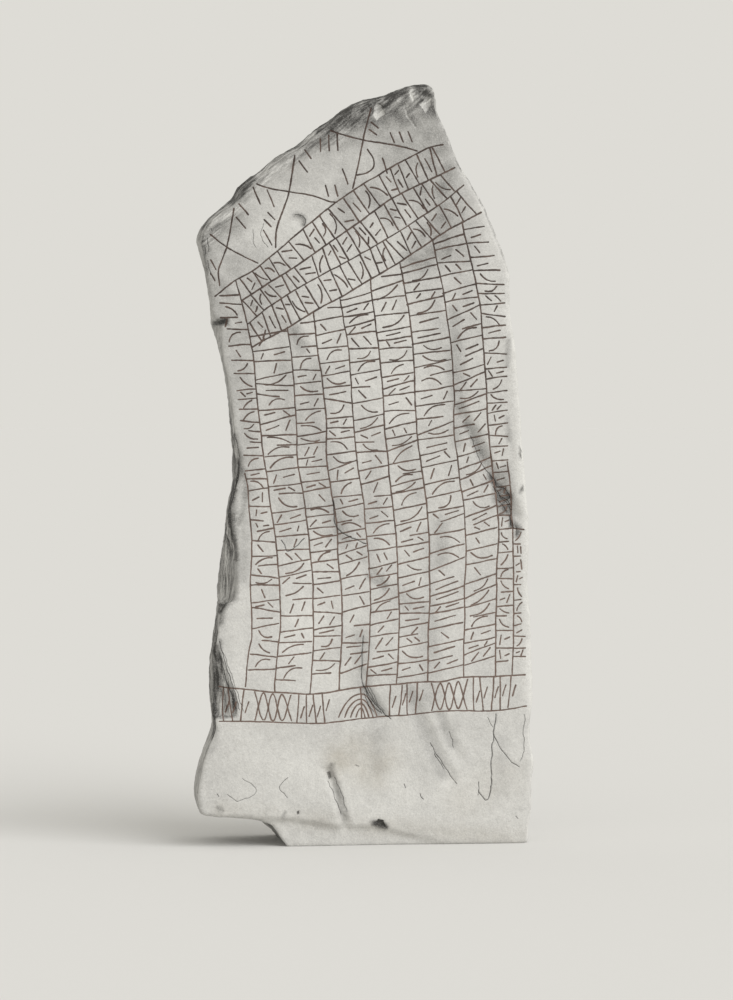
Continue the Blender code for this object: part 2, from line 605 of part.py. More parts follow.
# ---- The outline and the rings of the slab ------------------------------------------------------
def stations(controls, most):
    """The control values of an outline, with more between them where they lie far apart."""
    values = []
    for a, b in zip(controls[:-1], controls[1:]):
        pieces = max(1, math.ceil(abs(b - a) / most))
        values += [a + (b - a) * i / pieces for i in range(pieces)]
    return values + [controls[-1]]


def turned_gently(directions, reach=3):
    """Directions along an outline, averaged with their neighbours so that they fan at corners."""
    gentle = np.zeros_like(directions)
    count = len(directions)
    for shift in range(-reach, reach + 1):
        gentle += directions[np.clip(np.arange(count) + shift, 0, count - 1)]
    return gentle / np.hypot(gentle[:, 0], gentle[:, 1])[:, None]


def outline_rings():
    """The slab's rings from the front edge to the back edge, as arrays of (x, y, z).

    Every ring has the same stations: up the left side, along the top, down the right side and
    back along the ground.
    """
    front, whole, inward, depth = [], [], [], []
    for z in stations([p[1] for p in LEFT_EDGE], STATION):
        edge = float(x_at(LEFT_EDGE, z))
        side = float(x_at(LEFT_SIDE, z))
        edge = max(edge, side + 0.004)
        front.append((edge, z))
        whole.append((side, z))
        inward.append((1.0, 0.0))
        scar = max(0.0, edge - side - 0.012)
        depth.append(min(MOST_SCAR_DEPTH, EDGE_DEPTH + SCAR_DEPTH * scar))
    for x in stations([p[0] for p in TOP_EDGE], STATION):
        z = float(height_at(TOP_EDGE, x))
        front.append((x + 0.016 * (0.2 - x), z - TOP_BEVEL))
        whole.append((x, z))
        inward.append((0.5, -0.8) if x < 0.10 else (-0.2, -1.0))
        depth.append(TOP_BEVEL_DEPTH)
    for z in stations([p[1] for p in reversed(RIGHT_EDGE)], STATION):
        side = float(x_at(RIGHT_EDGE, z))
        front.append((side - RIGHT_BEVEL, z))
        whole.append((side, z))
        inward.append((-1.0, 0.0))
        depth.append(EDGE_DEPTH)
    front = np.array(front)
    whole = np.array(whole)
    depth = np.array(depth)
    inward = turned_gently(np.array(inward))

    shapes = [front, whole, whole + BACK_CORNER_INSET * inward, whole + BACK_EDGE_INSET * inward]
    foot_right = RIGHT_EDGE[0][0]
    foot_left = LEFT_EDGE[0][0]
    ground = stations([foot_right] + [p[0] for p in reversed(BASE_EDGE[1:-1])], STATION)[1:]
    shares = [(foot_right - x) / (foot_right - foot_left) for x in ground]
    rings = []
    for shape in shapes:
        right_x, left_x = shape[-1][0], shape[0][0]
        base = []
        for share in shares:
            x = right_x + share * (left_x - right_x)
            base.append((x, float(height_at(BASE_EDGE, x))))
        flat = np.vstack([shape, base])
        rings.append(flat)
    tail = np.full(len(shares), EDGE_DEPTH)
    depth = np.concatenate([depth, tail])
    y_front = front_y(rings[0]) + 0.003
    y_edge = front_y(rings[1]) + depth
    y_back = back_y(rings[3])
    y_corner = back_y(rings[2]) - BACK_CORNER_DEPTH
    depths = [y_front, y_edge, y_corner, y_back]
    return [np.column_stack([flat[:, 0], y, flat[:, 1]]) for flat, y in zip(rings, depths)]


def roughen_sides(rings):
    """Break the straight run of the sides: each ring behind the front edge is shifted a little."""
    for number in (1, 2):
        for point in rings[number]:
            if point[2] > STEADY_FOOT:
                shift = noise.noise(Vector((point[0] * 6.0, number * 3.7, point[2] * 6.0)))
                point[1] += SIDE_ROUGHNESS * shift


# ---- The solid -----------------------------------------------------------------------------------
def slab_mesh():
    rings = outline_rings()
    roughen_sides(rings)
    outline = rings[0][:, [0, 2]]
    cuts = []
    for kind, line in all_strokes(outline):
        if kind in ("tick", "bow") and math.dist(line[0], line[-1]) < SHORTEST_CARVED:
            continue
        if kind in ("bow", "arch") and len(line) > 4:
            line = line[::2]
        cuts.append((kind, line))
    loops, chains, troughs = [], [], []
    for kind, line in cuts:
        width = WIDTHS.get(kind, STROKE_WIDTH)
        floor, rim = trough(line, width)
        loops.append(rim)
        chains.append(floor)
        troughs.append((floor, width, DEPTHS.get(kind, STROKE_DEPTH)))
    lip = [(x, float(height_at(TOE_LIP, x))) for x in np.arange(-0.44, 0.22, 0.06)]
    chains.append(lip)
    chains.append([(x, z - TOE_SLOPE) for x, z in lip if z - TOE_SLOPE > 0.01
                   and z - TOE_SLOPE > height_at(BASE_EDGE, x) + 0.01])

    chains += flake_lines()

    worn = [point for line, half, depth in HOLLOWS for point in hollow_points(line, half)]
    worn = [p for p, inside in zip(worn, within(np.array(worn), outline, 0.012)) if inside]
    clear = [line for kind, line in cuts] + [lip] + flake_lines()
    plain = spread_points(outline, GRID, clear, CLEAR_OF_CUTS)
    flat, faces, front_rim = triangulate(outline, list(plain) + worn, loops, chains)
    y = front_y(flat) + cut_depths(flat, troughs)
    y[front_rim] = rings[0][:, 1]
    vertices = [(p[0], depth, p[1]) for p, depth in zip(flat, y)]

    last = list(front_rim)
    for ring in rings[1:]:
        first = len(vertices)
        vertices += [tuple(p) for p in ring]
        this = [first + i for i in range(len(ring))]
        for i in range(len(ring)):
            j = (i + 1) % len(ring)
            faces.append((last[i], this[i], this[j], last[j]))
        last = this

    outline = rings[-1][:, [0, 2]]
    plain = spread_points(outline, BACK_GRID, [], 0.0)
    flat, back_faces, back_rim = triangulate(outline, plain, [], [])
    y = back_y(flat)
    names = {}
    for place, index in zip(last, back_rim):
        names[index] = place
    for index, (p, depth) in enumerate(zip(flat, y)):
        if index not in names:
            names[index] = len(vertices)
            vertices.append((p[0], depth, p[1]))
    faces += [tuple(names[i] for i in face) for face in back_faces]

    mesh = bpy.data.meshes.new("rune_stone")
    mesh.from_pydata([(x - MIDDLE[0], y - MIDDLE[1], z) for x, y, z in vertices], [], faces)
    form = bmesh.new()
    form.from_mesh(mesh)
    bmesh.ops.remove_doubles(form, verts=form.verts, dist=0.0001)
    bmesh.ops.triangulate(form, faces=form.faces)
    bmesh.ops.recalc_face_normals(form, faces=form.faces)
    form.to_mesh(mesh)
    form.free()
    return mesh


def hollow_points(line, half_width):
    """Points along the floor and both sides of a worn hollow, so that the sheet can follow it."""
    floor, rim = trough(line, half_width * 1.6)
    return [tuple(p) for p in floor] + [tuple(p) for p in rim]


def granite():
    material = bpy.data.materials.new("granite")
    material.use_nodes = True
    shader = material.node_tree.nodes["Principled BSDF"]
    shader.inputs["Base Color"].default_value = (*GRANITE, 1.0)
    shader.inputs["Roughness"].default_value = 0.85
    shader.inputs["Metallic"].default_value = 0.0
    return material


def build():
    for old in list(bpy.data.objects):
        bpy.data.objects.remove(old, do_unlink=True)
    collection = bpy.data.collections.new("rune stone")
    bpy.context.scene.collection.children.link(collection)
    mesh = slab_mesh()
    mesh.materials.append(granite())
    mesh.shade_smooth()
    mesh.set_sharp_from_angle(angle=math.radians(22.0))
    stone = bpy.data.objects.new("rune_stone", mesh)
    collection.objects.link(stone)


build()
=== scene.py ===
"""The looks of a standing rune stone: weathered pale granite with rows of painted strokes.

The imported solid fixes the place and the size. It is replaced by one fine mesh of the same form:
the same outlines, hollows and strokes, with rounded strokes, worn edges and a rough skin. The
front faces -Y, +X is to its right and +Z is up. Lengths are in metres, but the ones that `path`
and `spots` read are in millimetres.
"""

import math
import random

import bpy
import numpy as np
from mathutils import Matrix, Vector, noise
from mathutils.geometry import delaunay_2d_cdt

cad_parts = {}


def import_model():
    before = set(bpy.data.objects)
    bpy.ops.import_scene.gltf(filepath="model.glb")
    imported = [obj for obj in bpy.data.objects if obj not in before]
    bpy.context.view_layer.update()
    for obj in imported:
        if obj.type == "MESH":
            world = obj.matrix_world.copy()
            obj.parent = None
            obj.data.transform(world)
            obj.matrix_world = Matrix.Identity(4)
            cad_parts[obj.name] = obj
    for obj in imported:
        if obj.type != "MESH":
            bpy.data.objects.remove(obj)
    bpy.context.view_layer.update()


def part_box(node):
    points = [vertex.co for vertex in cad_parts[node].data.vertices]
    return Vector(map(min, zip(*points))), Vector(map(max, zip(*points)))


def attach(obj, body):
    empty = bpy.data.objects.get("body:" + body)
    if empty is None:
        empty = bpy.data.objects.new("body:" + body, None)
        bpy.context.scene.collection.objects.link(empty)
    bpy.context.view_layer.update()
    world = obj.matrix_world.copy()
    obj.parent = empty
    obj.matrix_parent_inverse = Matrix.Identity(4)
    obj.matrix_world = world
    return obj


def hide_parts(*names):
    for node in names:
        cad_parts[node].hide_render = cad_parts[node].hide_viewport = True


# ---- Reading the tables ----
def path(*places):
    """A line of (x, z) points in metres, from x, z,  x, z... in millimetres."""
    return [(x / 1000, z / 1000) for x, z in zip(places[::2], places[1::2])]


def spots(*rows):
    """(line, reach, strength) from rows of reach, strength,  x, z,  x, z..."""
    return [(path(*places), reach / 1000, strength) for reach, strength, *places in rows]


# ---- The slab ----
HEIGHT = 2.50  # over which the faces lean in
FRONT_FOOT_Y = -0.205  # the front face at the ground
FRONT_LEAN = 0.045  # how far the front face leans back on its way to the peak
FRONT_CROWN = 0.012  # how far the middle of the front stands proud of its edges
FRONT_ARCH = 2.9  # radians of the crown's arch to the metre
BACK_FOOT_Y = 0.185  # the back face at the ground
BACK_LEAN = 0.100  # how much the slab thins from the back on its way up
BACK_CROWN = 0.035
BACK_ARCH = 2.6
# Slow waves of the two faces: height, turns along x and along z in radians, and their start.
FRONT_WAVES = ((0.0050, 3.1, 1.7, 0.4), (0.0035, -4.3, 5.2, 1.9), (0.0022, 9.0, 4.5, 0.7))
BACK_WAVES = ((0.0090, 4.0, 2.3, 1.1), (0.0060, -5.0, 6.1, 0.0))

# The left side is broken: its front edge steps in at two long scars where the side has spalled
# off, and LEFT_SIDE is the corner that is still whole.
LEFT_EDGE = path(
    -574, 105,  -581, 165,  -553, 310,  -528, 375,  -517, 400,  -519, 426,  -518, 500,  -515, 560,
    -515, 610,  -518, 650,  -518, 708,  -504, 770,  -482, 797,  -452, 808,  -446, 835,  -446, 900,
    -448, 980,  -462, 1034,  -467, 1090,  -462, 1130,  -448, 1185,  -432, 1230,  -428, 1260,  -436, 1301,
    -450, 1350,  -473, 1532,  -491, 1630,  -495, 1713,  -523, 1736,  -532, 1802,  -544, 1894,  -558, 1965)
LEFT_SIDE = path(
    -570, 105,  -585, 165,  -575, 224,  -553, 310,  -518, 390,  -528, 450,  -531, 520,  -530, 583,
    -514, 708,  -499, 807,  -501, 853,  -481, 995,  -471, 1090,  -466, 1130,  -453, 1179,  -452, 1308,
    -465, 1433,  -478, 1532,  -495, 1611,  -524, 1723,  -533, 1802,  -551, 1910,  -570, 1975)
TOP_EDGE = path(
    -572, 1995,  -558, 2034,  -531, 2067,  -472, 2113,  -451, 2131,  -434, 2163,  -408, 2188,  -373, 2208,
    -337, 2241,  -304, 2270,  -234, 2309,  -181, 2356,  -134, 2387,  -70, 2433,  -34, 2452,  32, 2462,
    60, 2475,  99, 2492,  140, 2506,  190, 2508,  212, 2495)
RIGHT_EDGE = path(
    522, 0,  532, 120,  541, 290,  528, 350,  536, 464,  533, 632,  524, 833,  525, 1061,  514, 1179,
    504, 1318,  495, 1479,  479, 1640,  466, 1759,  462, 1877,  443, 1940,  416, 2009,  380, 2098,
    330, 2184,  294, 2236,  265, 2312,  243, 2363,  226, 2398,  217, 2455)
BASE_EDGE = path(-585, 105,  -500, 101,  -400, 92,  -335, 80,  -290, 0,  540, 0)

STATION = 0.075  # between the stations of the outline, as in the solid
TOP_BEVEL = 0.018  # height of the broken bevel along the slanting top
TOP_BEVEL_DEPTH = 0.050
RIGHT_BEVEL = 0.014
LEAST_EDGE = 0.004  # the front edge keeps this far inside the left side
TOP_DRIFT = 0.016  # the front edge of the top lies a little towards PEAK, by this share
PEAK = 0.2
FRONT_ROLL = 0.003  # how far the edge of the front face rolls back
EDGE_DEPTH = 0.022  # depth of the worn front edge
LEAST_SCAR = 0.012  # where the left edge steps in further than this, it is scarred
SCAR_DEPTH = 2.6  # a scar goes this many times deeper than it is wide
MOST_SCAR_DEPTH = 0.150
SIDE_ROUGHNESS = 0.014  # how far the corners of the sides wander to the front and back
STEADY_FOOT = 0.120  # below this height they keep their place
BACK_CORNER_INSET = 0.020
BACK_CORNER_DEPTH = 0.035  # the back corner lies this far in front of the back face
BACK_EDGE_INSET = 0.050

# Worn hollows of the front face and flaked places of the back: half width, depth and line.
HOLLOWS = spots(
    (34, 13,  285, 1430,  327, 1360,  367, 1281,  407, 1202,  440, 1146,  470, 1085),
    (36, 10,  120, 500,  155, 418,  251, 214), (30, 7,  222, 418,  281, 290),
    (22, 12,  -155, 250,  -125, 181,  -92, 69), (30, 10,  -34, 560,  -30, 517,  30, 431),
    (16, 9,  -7, 905,  37, 860), (22, 10,  20, 2440,  30, 2385), (20, 8,  178, 2470,  190, 2420),
    (26, 8,  -243, 2052,  -239, 2044), (14, 20,  -520, 1716,  -492, 1720),
)
BACK_HOLLOWS = spots(
    (210, 22,  -200, 2050,  50, 1800), (190, 18,  300, 1200,  220, 750),
    (150, 20,  -330, 1150,  -300, 620),
)
# A thin flake has come off low on the left: the right edge of its bed from bottom to top, how
# steeply the bed falls away to the left, and the ledge at its bottom.
FLAKE_EDGE = path(-448, 434,  -447, 471,  -470, 557,  -497, 625,  -512, 665)
FLAKE_SLOPE = 0.55
MOST_FLAKE = 0.035
FLAKE_LEDGE = 0.012
# The ragged lip above the foot: below it the front face is broken back.
TOE_LIP = path(-521, 105,  -271, 96,  -118, 69,  1, 69,  98, 43,  234, 14,  520, 4)
TOE_SETBACK = 0.016  # how far back at most
TOE_SHARE = 0.3  # and by no more than this share of the lip's height
TOE_SLOPE = 0.014  # height over which the lip falls back

# ---- Strokes ----
CRACKS = (
    path(408, 428,  394, 280,  391, 168,  374, 145,  349, 175),
    path(401, 360,  441, 290,  486, 250),
    path(-132, 1136,  -113, 1041,  -23, 991),
    path(-34, 690,  -36, 545,  -12, 490,  56, 414),
    path(-302, 1005,  -276, 968,  -226, 1011),
)
BAND_LINES = (
    path(-517, 1803,  -457, 1851,  -380, 1896,  -200, 2049,  -67, 2148,  153, 2279,  203, 2299,  250, 2307),
    path(-427, 1789,  -320, 1858,  -90, 2016,  80, 2134,  190, 2187,  285, 2232),
    path(-410, 1713,  -320, 1785,  -34, 1947,  169, 2069,  318, 2182),
    path(-394, 1637,  -194, 1752,  92, 1917,  212, 1999,  372, 2089),
)
# The lines between the columns, from the foot up. The first one runs on across the bands.
COLUMN_LINES = (
    path(-323, 512,  -325, 548,  -305, 751,  -314, 954,  -331, 1079,  -352, 1237,  -383, 1479,
         -391, 1597,  -412, 1715,  -451, 1855),
    path(-209, 508,  -197, 737,  -204, 947,  -227, 1138,  -247, 1256,  -251, 1387,  -265, 1571,
         -281, 1702),
    path(-114, 513,  -103, 743,  -117, 1006,  -130, 1131,  -153, 1269,  -157, 1427,  -176, 1590,
         -195, 1748),
    path(-24, 522,  -8, 790,  -29, 1111,  -53, 1269,  -70, 1479,  -80, 1637,  -109, 1801),
    path(75, 525,  85, 716,  77, 1005,  43, 1347,  30, 1545,  10, 1715,  -8, 1860),
    path(179, 537,  188, 919,  183, 1090,  147, 1360,  138, 1532,  126, 1709,  89, 1916),
    path(299, 549,  307, 945,  306, 1083,  286, 1228,  268, 1373,  270, 1499,  248, 1729,  199, 1999),
    path(405, 551,  413, 918,  416, 1063,  388, 1347,  369, 1631,  353, 1799,  297, 2045),
)
OUTER_LEFT = path(-420, 526,  -411, 634,  -398, 699,  -404, 843,  -399, 991,  -411, 1165,  -423, 1224)
OUTER_RIGHT = path(465, 557,  469, 740,  463, 1100,  453, 1215,  445, 1261)
FOOT_TOP = path(-505, 526,  -323, 508,  -208, 501,  -12, 522,  174, 537,  241, 538,  308, 550,  508, 555)
FOOT_BOTTOM = path(
    -508, 414,  -377, 411,  -205, 404,  -112, 410,  -13, 419,  121, 429,  254, 440,  389, 436,  516, 454)
# The borders of the outermost strokes, where no line is ruled.
LEFT_BORDER = [*path(-418, 540), *OUTER_LEFT[2:6],
               *path(-423, 1240,  -446, 1480,  -474, 1640,  -500, 1700,  -505, 1790)]
RIGHT_BORDER = [*path(465, 560), *OUTER_RIGHT[1:4],
                *path(449, 1600,  440, 1860,  385, 1990,  366, 2060)]
EDGE_BORDER = path(512, 560,  505, 1060,  484, 1300)
# The narrow columns beside them: their top, their bottom and the tilt of their rungs in degrees.
LEFT_RUN = (1.800, 0.525, 0.0)
RIGHT_RUN = (2.050, 0.565, 3.0)
EDGE_RUN = (1.060, 0.580, 2.0)
# The three big crosses of the top field: two strokes each.
CROSSES = (
    path(-452, 2114,  -478, 1963,  -503, 1891,  -501, 1838),
    path(-542, 2015,  -478, 1966,  -401, 1924,  -376, 1912),
    path(-253, 2285,  -272, 2148,  -316, 2023,  -319, 1964),
    path(-389, 2177,  -348, 2160,  -197, 2132,  -144, 2113,  -117, 2111),
    path(0, 2432,  -28, 2320,  -64, 2156),
    path(-138, 2347,  -81, 2329,  -24, 2314,  72, 2301,  148, 2282),
)
# Short strokes beside the arms of the crosses: how many, where the first one starts, their reach
# and the step from one to the next.
TICK_GROUPS = (
    (2,  -4, 2375,  25, -19,  -6, -23), (3,  -171, 2330,  1, -52,  28, 2),
    (3,  59, 2342,  14, -34,  30, 2), (2,  -154, 2168,  10, -36,  30, 0),
    (2,  -98, 2222,  17, -50,  131, 36), (2,  -229, 2292,  28, -37,  -12, -45),
    (2,  -391, 2160,  23, -55,  46, -8), (2,  -343, 2078,  23, -24,  -12, -23),
    (1,  -358, 2020,  28, -49,  0, 0), (2,  -438, 2106,  31, -36,  -9, -44),
    (3,  -531, 1922,  18, -32,  -4, -36),
)
# A bowed stroke beside the highest cross: start, end and bulge.
FIELD_BOW = ((-0.016, 2.287), (-0.050, 2.201), 0.040)
# The foot band from left to right: start, end and pattern, with the nest of arches between.
FOOT_RUNS = ((-0.497, -0.407, "staves"), (-0.392, -0.272, "lattice"), (-0.252, -0.132, "staves"),
             (0.052, 0.172, "staves"), (0.192, 0.312, "lattice"), (0.335, 0.480, "staves"))
FOOT_PITCH = 0.030
NEST = -0.041  # the middle of the nest
NEST_ARCHES = ((0.074, 0.077), (0.054, 0.060), (0.035, 0.045), (0.017, 0.030))  # reach and rise
NEST_RIGHT = 0.72  # their reach to the right, as a share
NEST_POST = 0.092  # height of the stroke in their middle
FOOT_LEAN = (-0.010, 0.016)  # how far the staves of the foot band lean
FOOT_SHIFT = 0.015  # how far the ticks between them go up or down

STROKE_WIDTH = 0.0065
STROKE_DEPTH = 0.0030
CRACK_WIDTH = 0.006
CRACK_DEPTH = 0.004
ROW_PITCH = 0.0430  # between the rungs of a column
STAVE_PITCH = 0.0340  # between the staves of a band
BAND_START = 0.030  # the first stave stands this far from the start of its band
BAND_END = 0.02  # and the last one at least this far from its end
SLOPE_REACH = 0.03  # the slant of a band is read over this distance
ROW_SPREAD = (0.66, 1.32)  # the pitches vary between these shares
STAVE_SPREAD = (0.70, 1.20)
RUNG_SWAY = 5.0  # how far the rungs sway from their column's tilt, in degrees
CORNER_SWAY = 4.0
STAVE_SWAY = 6.0
SHORT_RUNGS = 0.16  # the share of rungs that stop partway
LOWEST_CELL = 0.024  # a cell lower than this holds no free strokes
LINE_GAP = 0.0065  # a stroke stops this far from a ruled line
SHORTEST_STROKE = 0.020
EDGE_MARGIN = 0.006  # a stroke keeps this far inside the edge of the front face
TRIM_STEP = 0.004

# Thin cracks and scratches of the front: how deep and dark beside the big cracks, and line.
SCRATCHES = (
    (0.9,  328, 1347,  363, 1251,  404, 1206),
    (1.0,  407, 1200,  414, 1178,  436, 1172,  452, 1153,  460, 1132),
    (0.8,  411, 1166,  428, 1146,  448, 1134,  460, 1110), (0.8,  416, 1157,  440, 1130,  464, 1102),
    (0.7,  415, 1136,  430, 1118,  446, 1097), (0.7,  417, 1108,  440, 1126,  460, 1144),
    (1.0,  454, 1120,  459, 1090,  457, 1052), (0.7,  452, 1085,  464, 1062,  469, 1040),
    (0.8,  476, 1050,  480, 1020), (0.8,  400, 1180,  418, 1148), (0.9,  -30, 522,  -6, 470,  22, 436),
    (0.8,  -28, 500,  -14, 462,  2, 440), (0.8,  -20, 525,  4, 478,  30, 434),
    (0.6,  -12, 520,  12, 474,  36, 440), (0.9,  190, 336,  221, 282,  258, 226,  276, 198),
    (0.7,  205, 300,  236, 246), (0.6,  252, 372,  270, 318),
    (0.6,  -434, 228,  -388, 188,  -441, 152,  -484, 174), (0.7,  -284, 228,  -311, 198,  -284, 162),
    (0.8,  -150, 214,  -128, 164,  -104, 104), (0.6,  -128, 226,  -104, 168,  -88, 112),
    (1.0,  103, 202,  107, 188), (1.0,  152, 168,  158, 158,  168, 153), (1.0,  352, 205,  349, 160),
    (0.8,  475, 90,  484, 82), (0.6,  383, 418,  398, 384),
    (0.7,  503, 425,  506, 397,  502, 359,  505, 331,  500, 286,  489, 270),
    (0.9,  -516, 176,  -511, 168), (0.8,  -254, 2071,  -236, 2072,  -220, 2056,  -223, 2034),
    (0.5,  -391, 2022,  -391, 1990,  -382, 1964), (0.5,  -358, 2042,  -368, 2003,  -345, 1962),
    (0.8,  -130, 2382,  -60, 2420,  -6, 2438), (0.8,  -550, 2024,  -540, 1985,  -538, 1950),
    (0.8,  -558, 2006,  -550, 1960,  -543, 1905), (0.7,  -530, 2052,  -528, 2016),
    (0.7,  -540, 1920,  -532, 1872), (0.9,  -505, 676,  -490, 615,  -466, 540,  -441, 450),
    (0.8,  -508, 640,  -494, 590,  -472, 520,  -452, 447),
    (0.6,  -492, 640,  -478, 596,  -452, 520,  -430, 446), (0.5,  -497, 560,  -487, 500,  -480, 446),
    (0.7,  -58, 268,  -48, 262),
)
SCRATCH_WIDTH = 0.0042
# Small crisp chips of the front: depth, how much darker (paler below 0) they are, and outline. The dark
# ones hold painted shade in their pits; the pale ones are paler broken faces.
CHIPS = spots(
    (4.5, -0.48,  7, 2428,  17, 2437,  32, 2436,  36, 2421,  45, 2402,  31, 2393,  14, 2379,  3, 2398),
    (4.5, -0.42,  154, 2438,  171, 2449,  178, 2463,  193, 2468,  200, 2453,  197, 2433,  188, 2418,
     178, 2403,  168, 2420),
    (2.5, -0.45,  121, 2476,  129, 2477,  143, 2446,  134, 2444),
    (2.5, -0.32,  102, 2437,  110, 2434,  120, 2400,  150, 2358,  143, 2355,  112, 2394),
    (8, 0.75,  1, 74,  15, 88,  35, 84,  41, 62,  21, 66),
    (5, 0.55,  -256, 117,  -246, 121,  -246, 108,  -254, 104),
    (5, 0.45,  -155, 244,  -143, 247,  -137, 226,  -147, 216),
)
CHIP_STEP = 0.005  # between the points of a chip's outline
CHIP_WALL = 0.0025  # how wide its walls are, seen from the front
CHIP_JAGS = 0.0015

# ---- Tones: how dark the stone is, from 0 (pale) to 1 ----
BARE = 0.15  # the plain stone of the front
BARE_SIDE = 0.22
FLAKE_SHADE = 0.20  # how much darker the sunk bed of the flake is: painted shade
# Soft dark patches of the front face: reach, strength and line. Those along the hollows, in the notch on
# the left and at the chips are painted shade in these recesses.
DARK_AND_SHADED_PATCHES = spots(
    (170, 0.50,  -100, 2385,  60, 2430,  215, 2440), (180, 0.30,  80, 2440,  215, 2300),
    (60, 0.26,  -560, 1985,  -380, 2180,  -160, 2335), (100, 0.50,  -170, 2330,  -80, 2385,  0, 2430),
    (60, 0.26,  -545, 1960,  -505, 1720), (120, 0.20,  150, 2270,  235, 2160,  290, 1960),
    (120, 0.24,  70, 2260,  120, 2170,  190, 2150,  190, 1990),
    (90, 0.33,  250, 2230,  222, 2124,  229, 1959,  150, 1925), (70, 0.23,  -12, 2150,  66, 2070),
    (45, 0.27,  -500, 1850,  -470, 1810), (60, 0.34,  60, 2320,  85, 2290),
    (80, 0.21,  -90, 2150,  -85, 2060), (75, 0.29,  -500, 1985,  -440, 2060),
    (45, 0.33,  -262, 1690,  -240, 1640), (50, 0.19,  225, 1060,  228, 980,  225, 930),
    (22, 0.52,  -457, 1164,  -459, 1086,  -454, 1010,  -452, 945),
    (18, 0.46,  -477, 850,  -480, 811,  -497, 772,  -503, 733),
    (11, 0.44,  -503, 680,  -503, 615,  -493, 576,  -480, 536,  -464, 497,  -457, 457),
    (30, 0.14,  -515, 560,  -500, 500,  -486, 450), (110, 0.26,  180, 2300,  240, 2180),
    (100, 0.10,  -100, 2290,  -60, 2170), (90, 0.07,  190, 1900,  240, 1640),
    (60, 0.16,  -530, 1930,  -490, 1760,  -460, 1640),
    (50, 0.13,  -480, 1700,  -440, 1480,  -410, 1200,  -400, 1050), (70, 0.10,  -300, 1260,  -280, 1020),
    (70, 0.10,  20, 1320,  -10, 1100,  -20, 960), (60, 0.10,  100, 1320,  140, 1160),
    (50, 0.10,  190, 1020,  200, 560), (40, 0.14,  345, 1360,  385, 1210),
    (40, 0.22,  440, 1240,  455, 1090), (110, 0.08,  -470, 2050,  -300, 2180,  -140, 2280),
    (100, 0.10,  -470, 2060,  -330, 2180), (130, 0.20,  -440, 1900,  -330, 1860,  -420, 1660),
    (80, 0.13,  -300, 1720,  -290, 1500,  -230, 1330), (60, 0.12,  -420, 1560,  -400, 1240),
    (80, 0.15,  -200, 1560,  -170, 1300,  -110, 1050), (50, 0.20,  268, 1760,  290, 1330),
    (90, 0.10,  270, 1960,  340, 1700),
    (30, 0.36,  310, 1390,  327, 1360,  367, 1281,  407, 1202,  440, 1146),
    (21, 0.80,  392, 1215,  411, 1186,  436, 1170,  456, 1145),
    (26, 0.62,  414, 1170,  434, 1145,  456, 1120), (40, 0.62,  424, 1146,  446, 1106),
    (22, 0.34,  342, 1345,  364, 1284,  392, 1223), (13, 0.66,  454, 1128,  461, 1100,  461, 1050),
    (36, 0.17,  -425, 1200,  -425, 880), (50, 0.13,  -225, 1180,  -225, 1110),
    (17, 0.50,  474, 1054,  486, 1042,  480, 1018), (9, 0.55,  502, 1177,  494, 1163),
    (10, 0.62,  494, 1304,  495, 1275), (14, 0.22,  449, 1405,  454, 1330),
    (12, 0.30,  -515, 132,  -500, 124), (50, 0.22,  -120, 1090,  -100, 1010),
    (22, 0.36,  -10, 890,  40, 850), (60, 0.12,  80, 830,  190, 760,  190, 480),
    (50, 0.13,  -34, 700,  -40, 530), (34, 0.40,  -28, 512,  -8, 474,  16, 436),
    (34, 0.20,  118, 500,  155, 400,  230, 230), (26, 0.18,  215, 440,  260, 330),
    (18, 0.26,  -140, 250,  -115, 170,  -95, 85), (12, 0.50,  -140, 262,  -136, 268),
    (60, 0.10,  20, 380,  10, 260), (50, 0.08,  430, 330,  420, 150),
    (20, 0.95,  -520, 1712,  -482, 1722), (16, 0.80,  0, 75,  40, 62), (16, 0.26,  454, 1660,  449, 1580),
    (13, 0.40,  -256, 2068,  -238, 2070,  -224, 2056,  -226, 2038), (34, 0.90,  146, 2478,  185, 2478),
    (40, 0.76,  50, 2458,  112, 2474), (26, 0.50,  -562, 2015,  -554, 1950,  -540, 1885),
    (28, 0.85,  -450, 2126,  -408, 2176), (30, 0.74,  -172, 2348,  -100, 2395),
    (22, 0.34,  -427, 1237,  -416, 1184,  -420, 1125,  -440, 1060), (8, 0.50,  -300, 92,  -290, 112),
)
# Paler places: the long strip along the right edge is painted light where the face rounds over towards the
# light, the rest are paler patches.
PALE_AND_LIT_PATCHES = spots(
    (16, 0.40,  34, 2445,  50, 2470), (18, 0.40,  190, 2490,  215, 2470),
    (10, 0.35,  129, 2498,  130, 2466), (45, 0.09,  470, 1760,  495, 1480,  520, 1000,  525, 450),
    (50, 0.06,  -450, 1120,  -440, 860,  -450, 560), (120, 0.07,  -180, 900,  -240, 650,  -160, 540),
    (150, 0.04,  20, 1750,  60, 1450), (180, 0.06,  -400, 280,  100, 180,  450, 200),
)
# The spalled scars of the left side.
SCARS = spots(
    (75, 1.00,  -445, 1330,  -470, 1100,  -490, 830), (80, 1.00,  -500, 700,  -500, 420),
)
# The rough strip of the front along the slanting top.
TOP_RIM = spots(
    (40, 0.80,  -560, 1960,  -380, 2175,  -160, 2330), (75, 0.80,  -160, 2330,  0, 2430,  200, 2470),
)
# Warm stains low on the front.
STAINS = spots(
    (120, 0.60,  -85, 290,  10, 270), (120, 0.15,  300, 150,  440, 220),
    (60, 0.20,  -500, 120,  0, 60,  500, 20),
)
# Painted shade along the edges where the left side has broken away, in the step down to the scars and the
# flake.
SHADED_BREAK_EDGES = [
    ([p for p in LEFT_EDGE if 0.72 < p[1] < 1.37], 0.010, 0.54),
    ([p for p in LEFT_EDGE if 0.41 < p[1] < 0.74], 0.009, 0.36),
    (FLAKE_EDGE[:-1], 0.009, 0.34),
    *spots(
        (11, 0.45,  -514, 390,  -520, 350,  -534, 310), (12, 0.60,  -495, 790,  -472, 795,  -446, 815),
        (8, 0.30,  -506, 560,  -500, 500,  -512, 430), (8, 0.25,  -510, 426,  -445, 426),
    ),
]
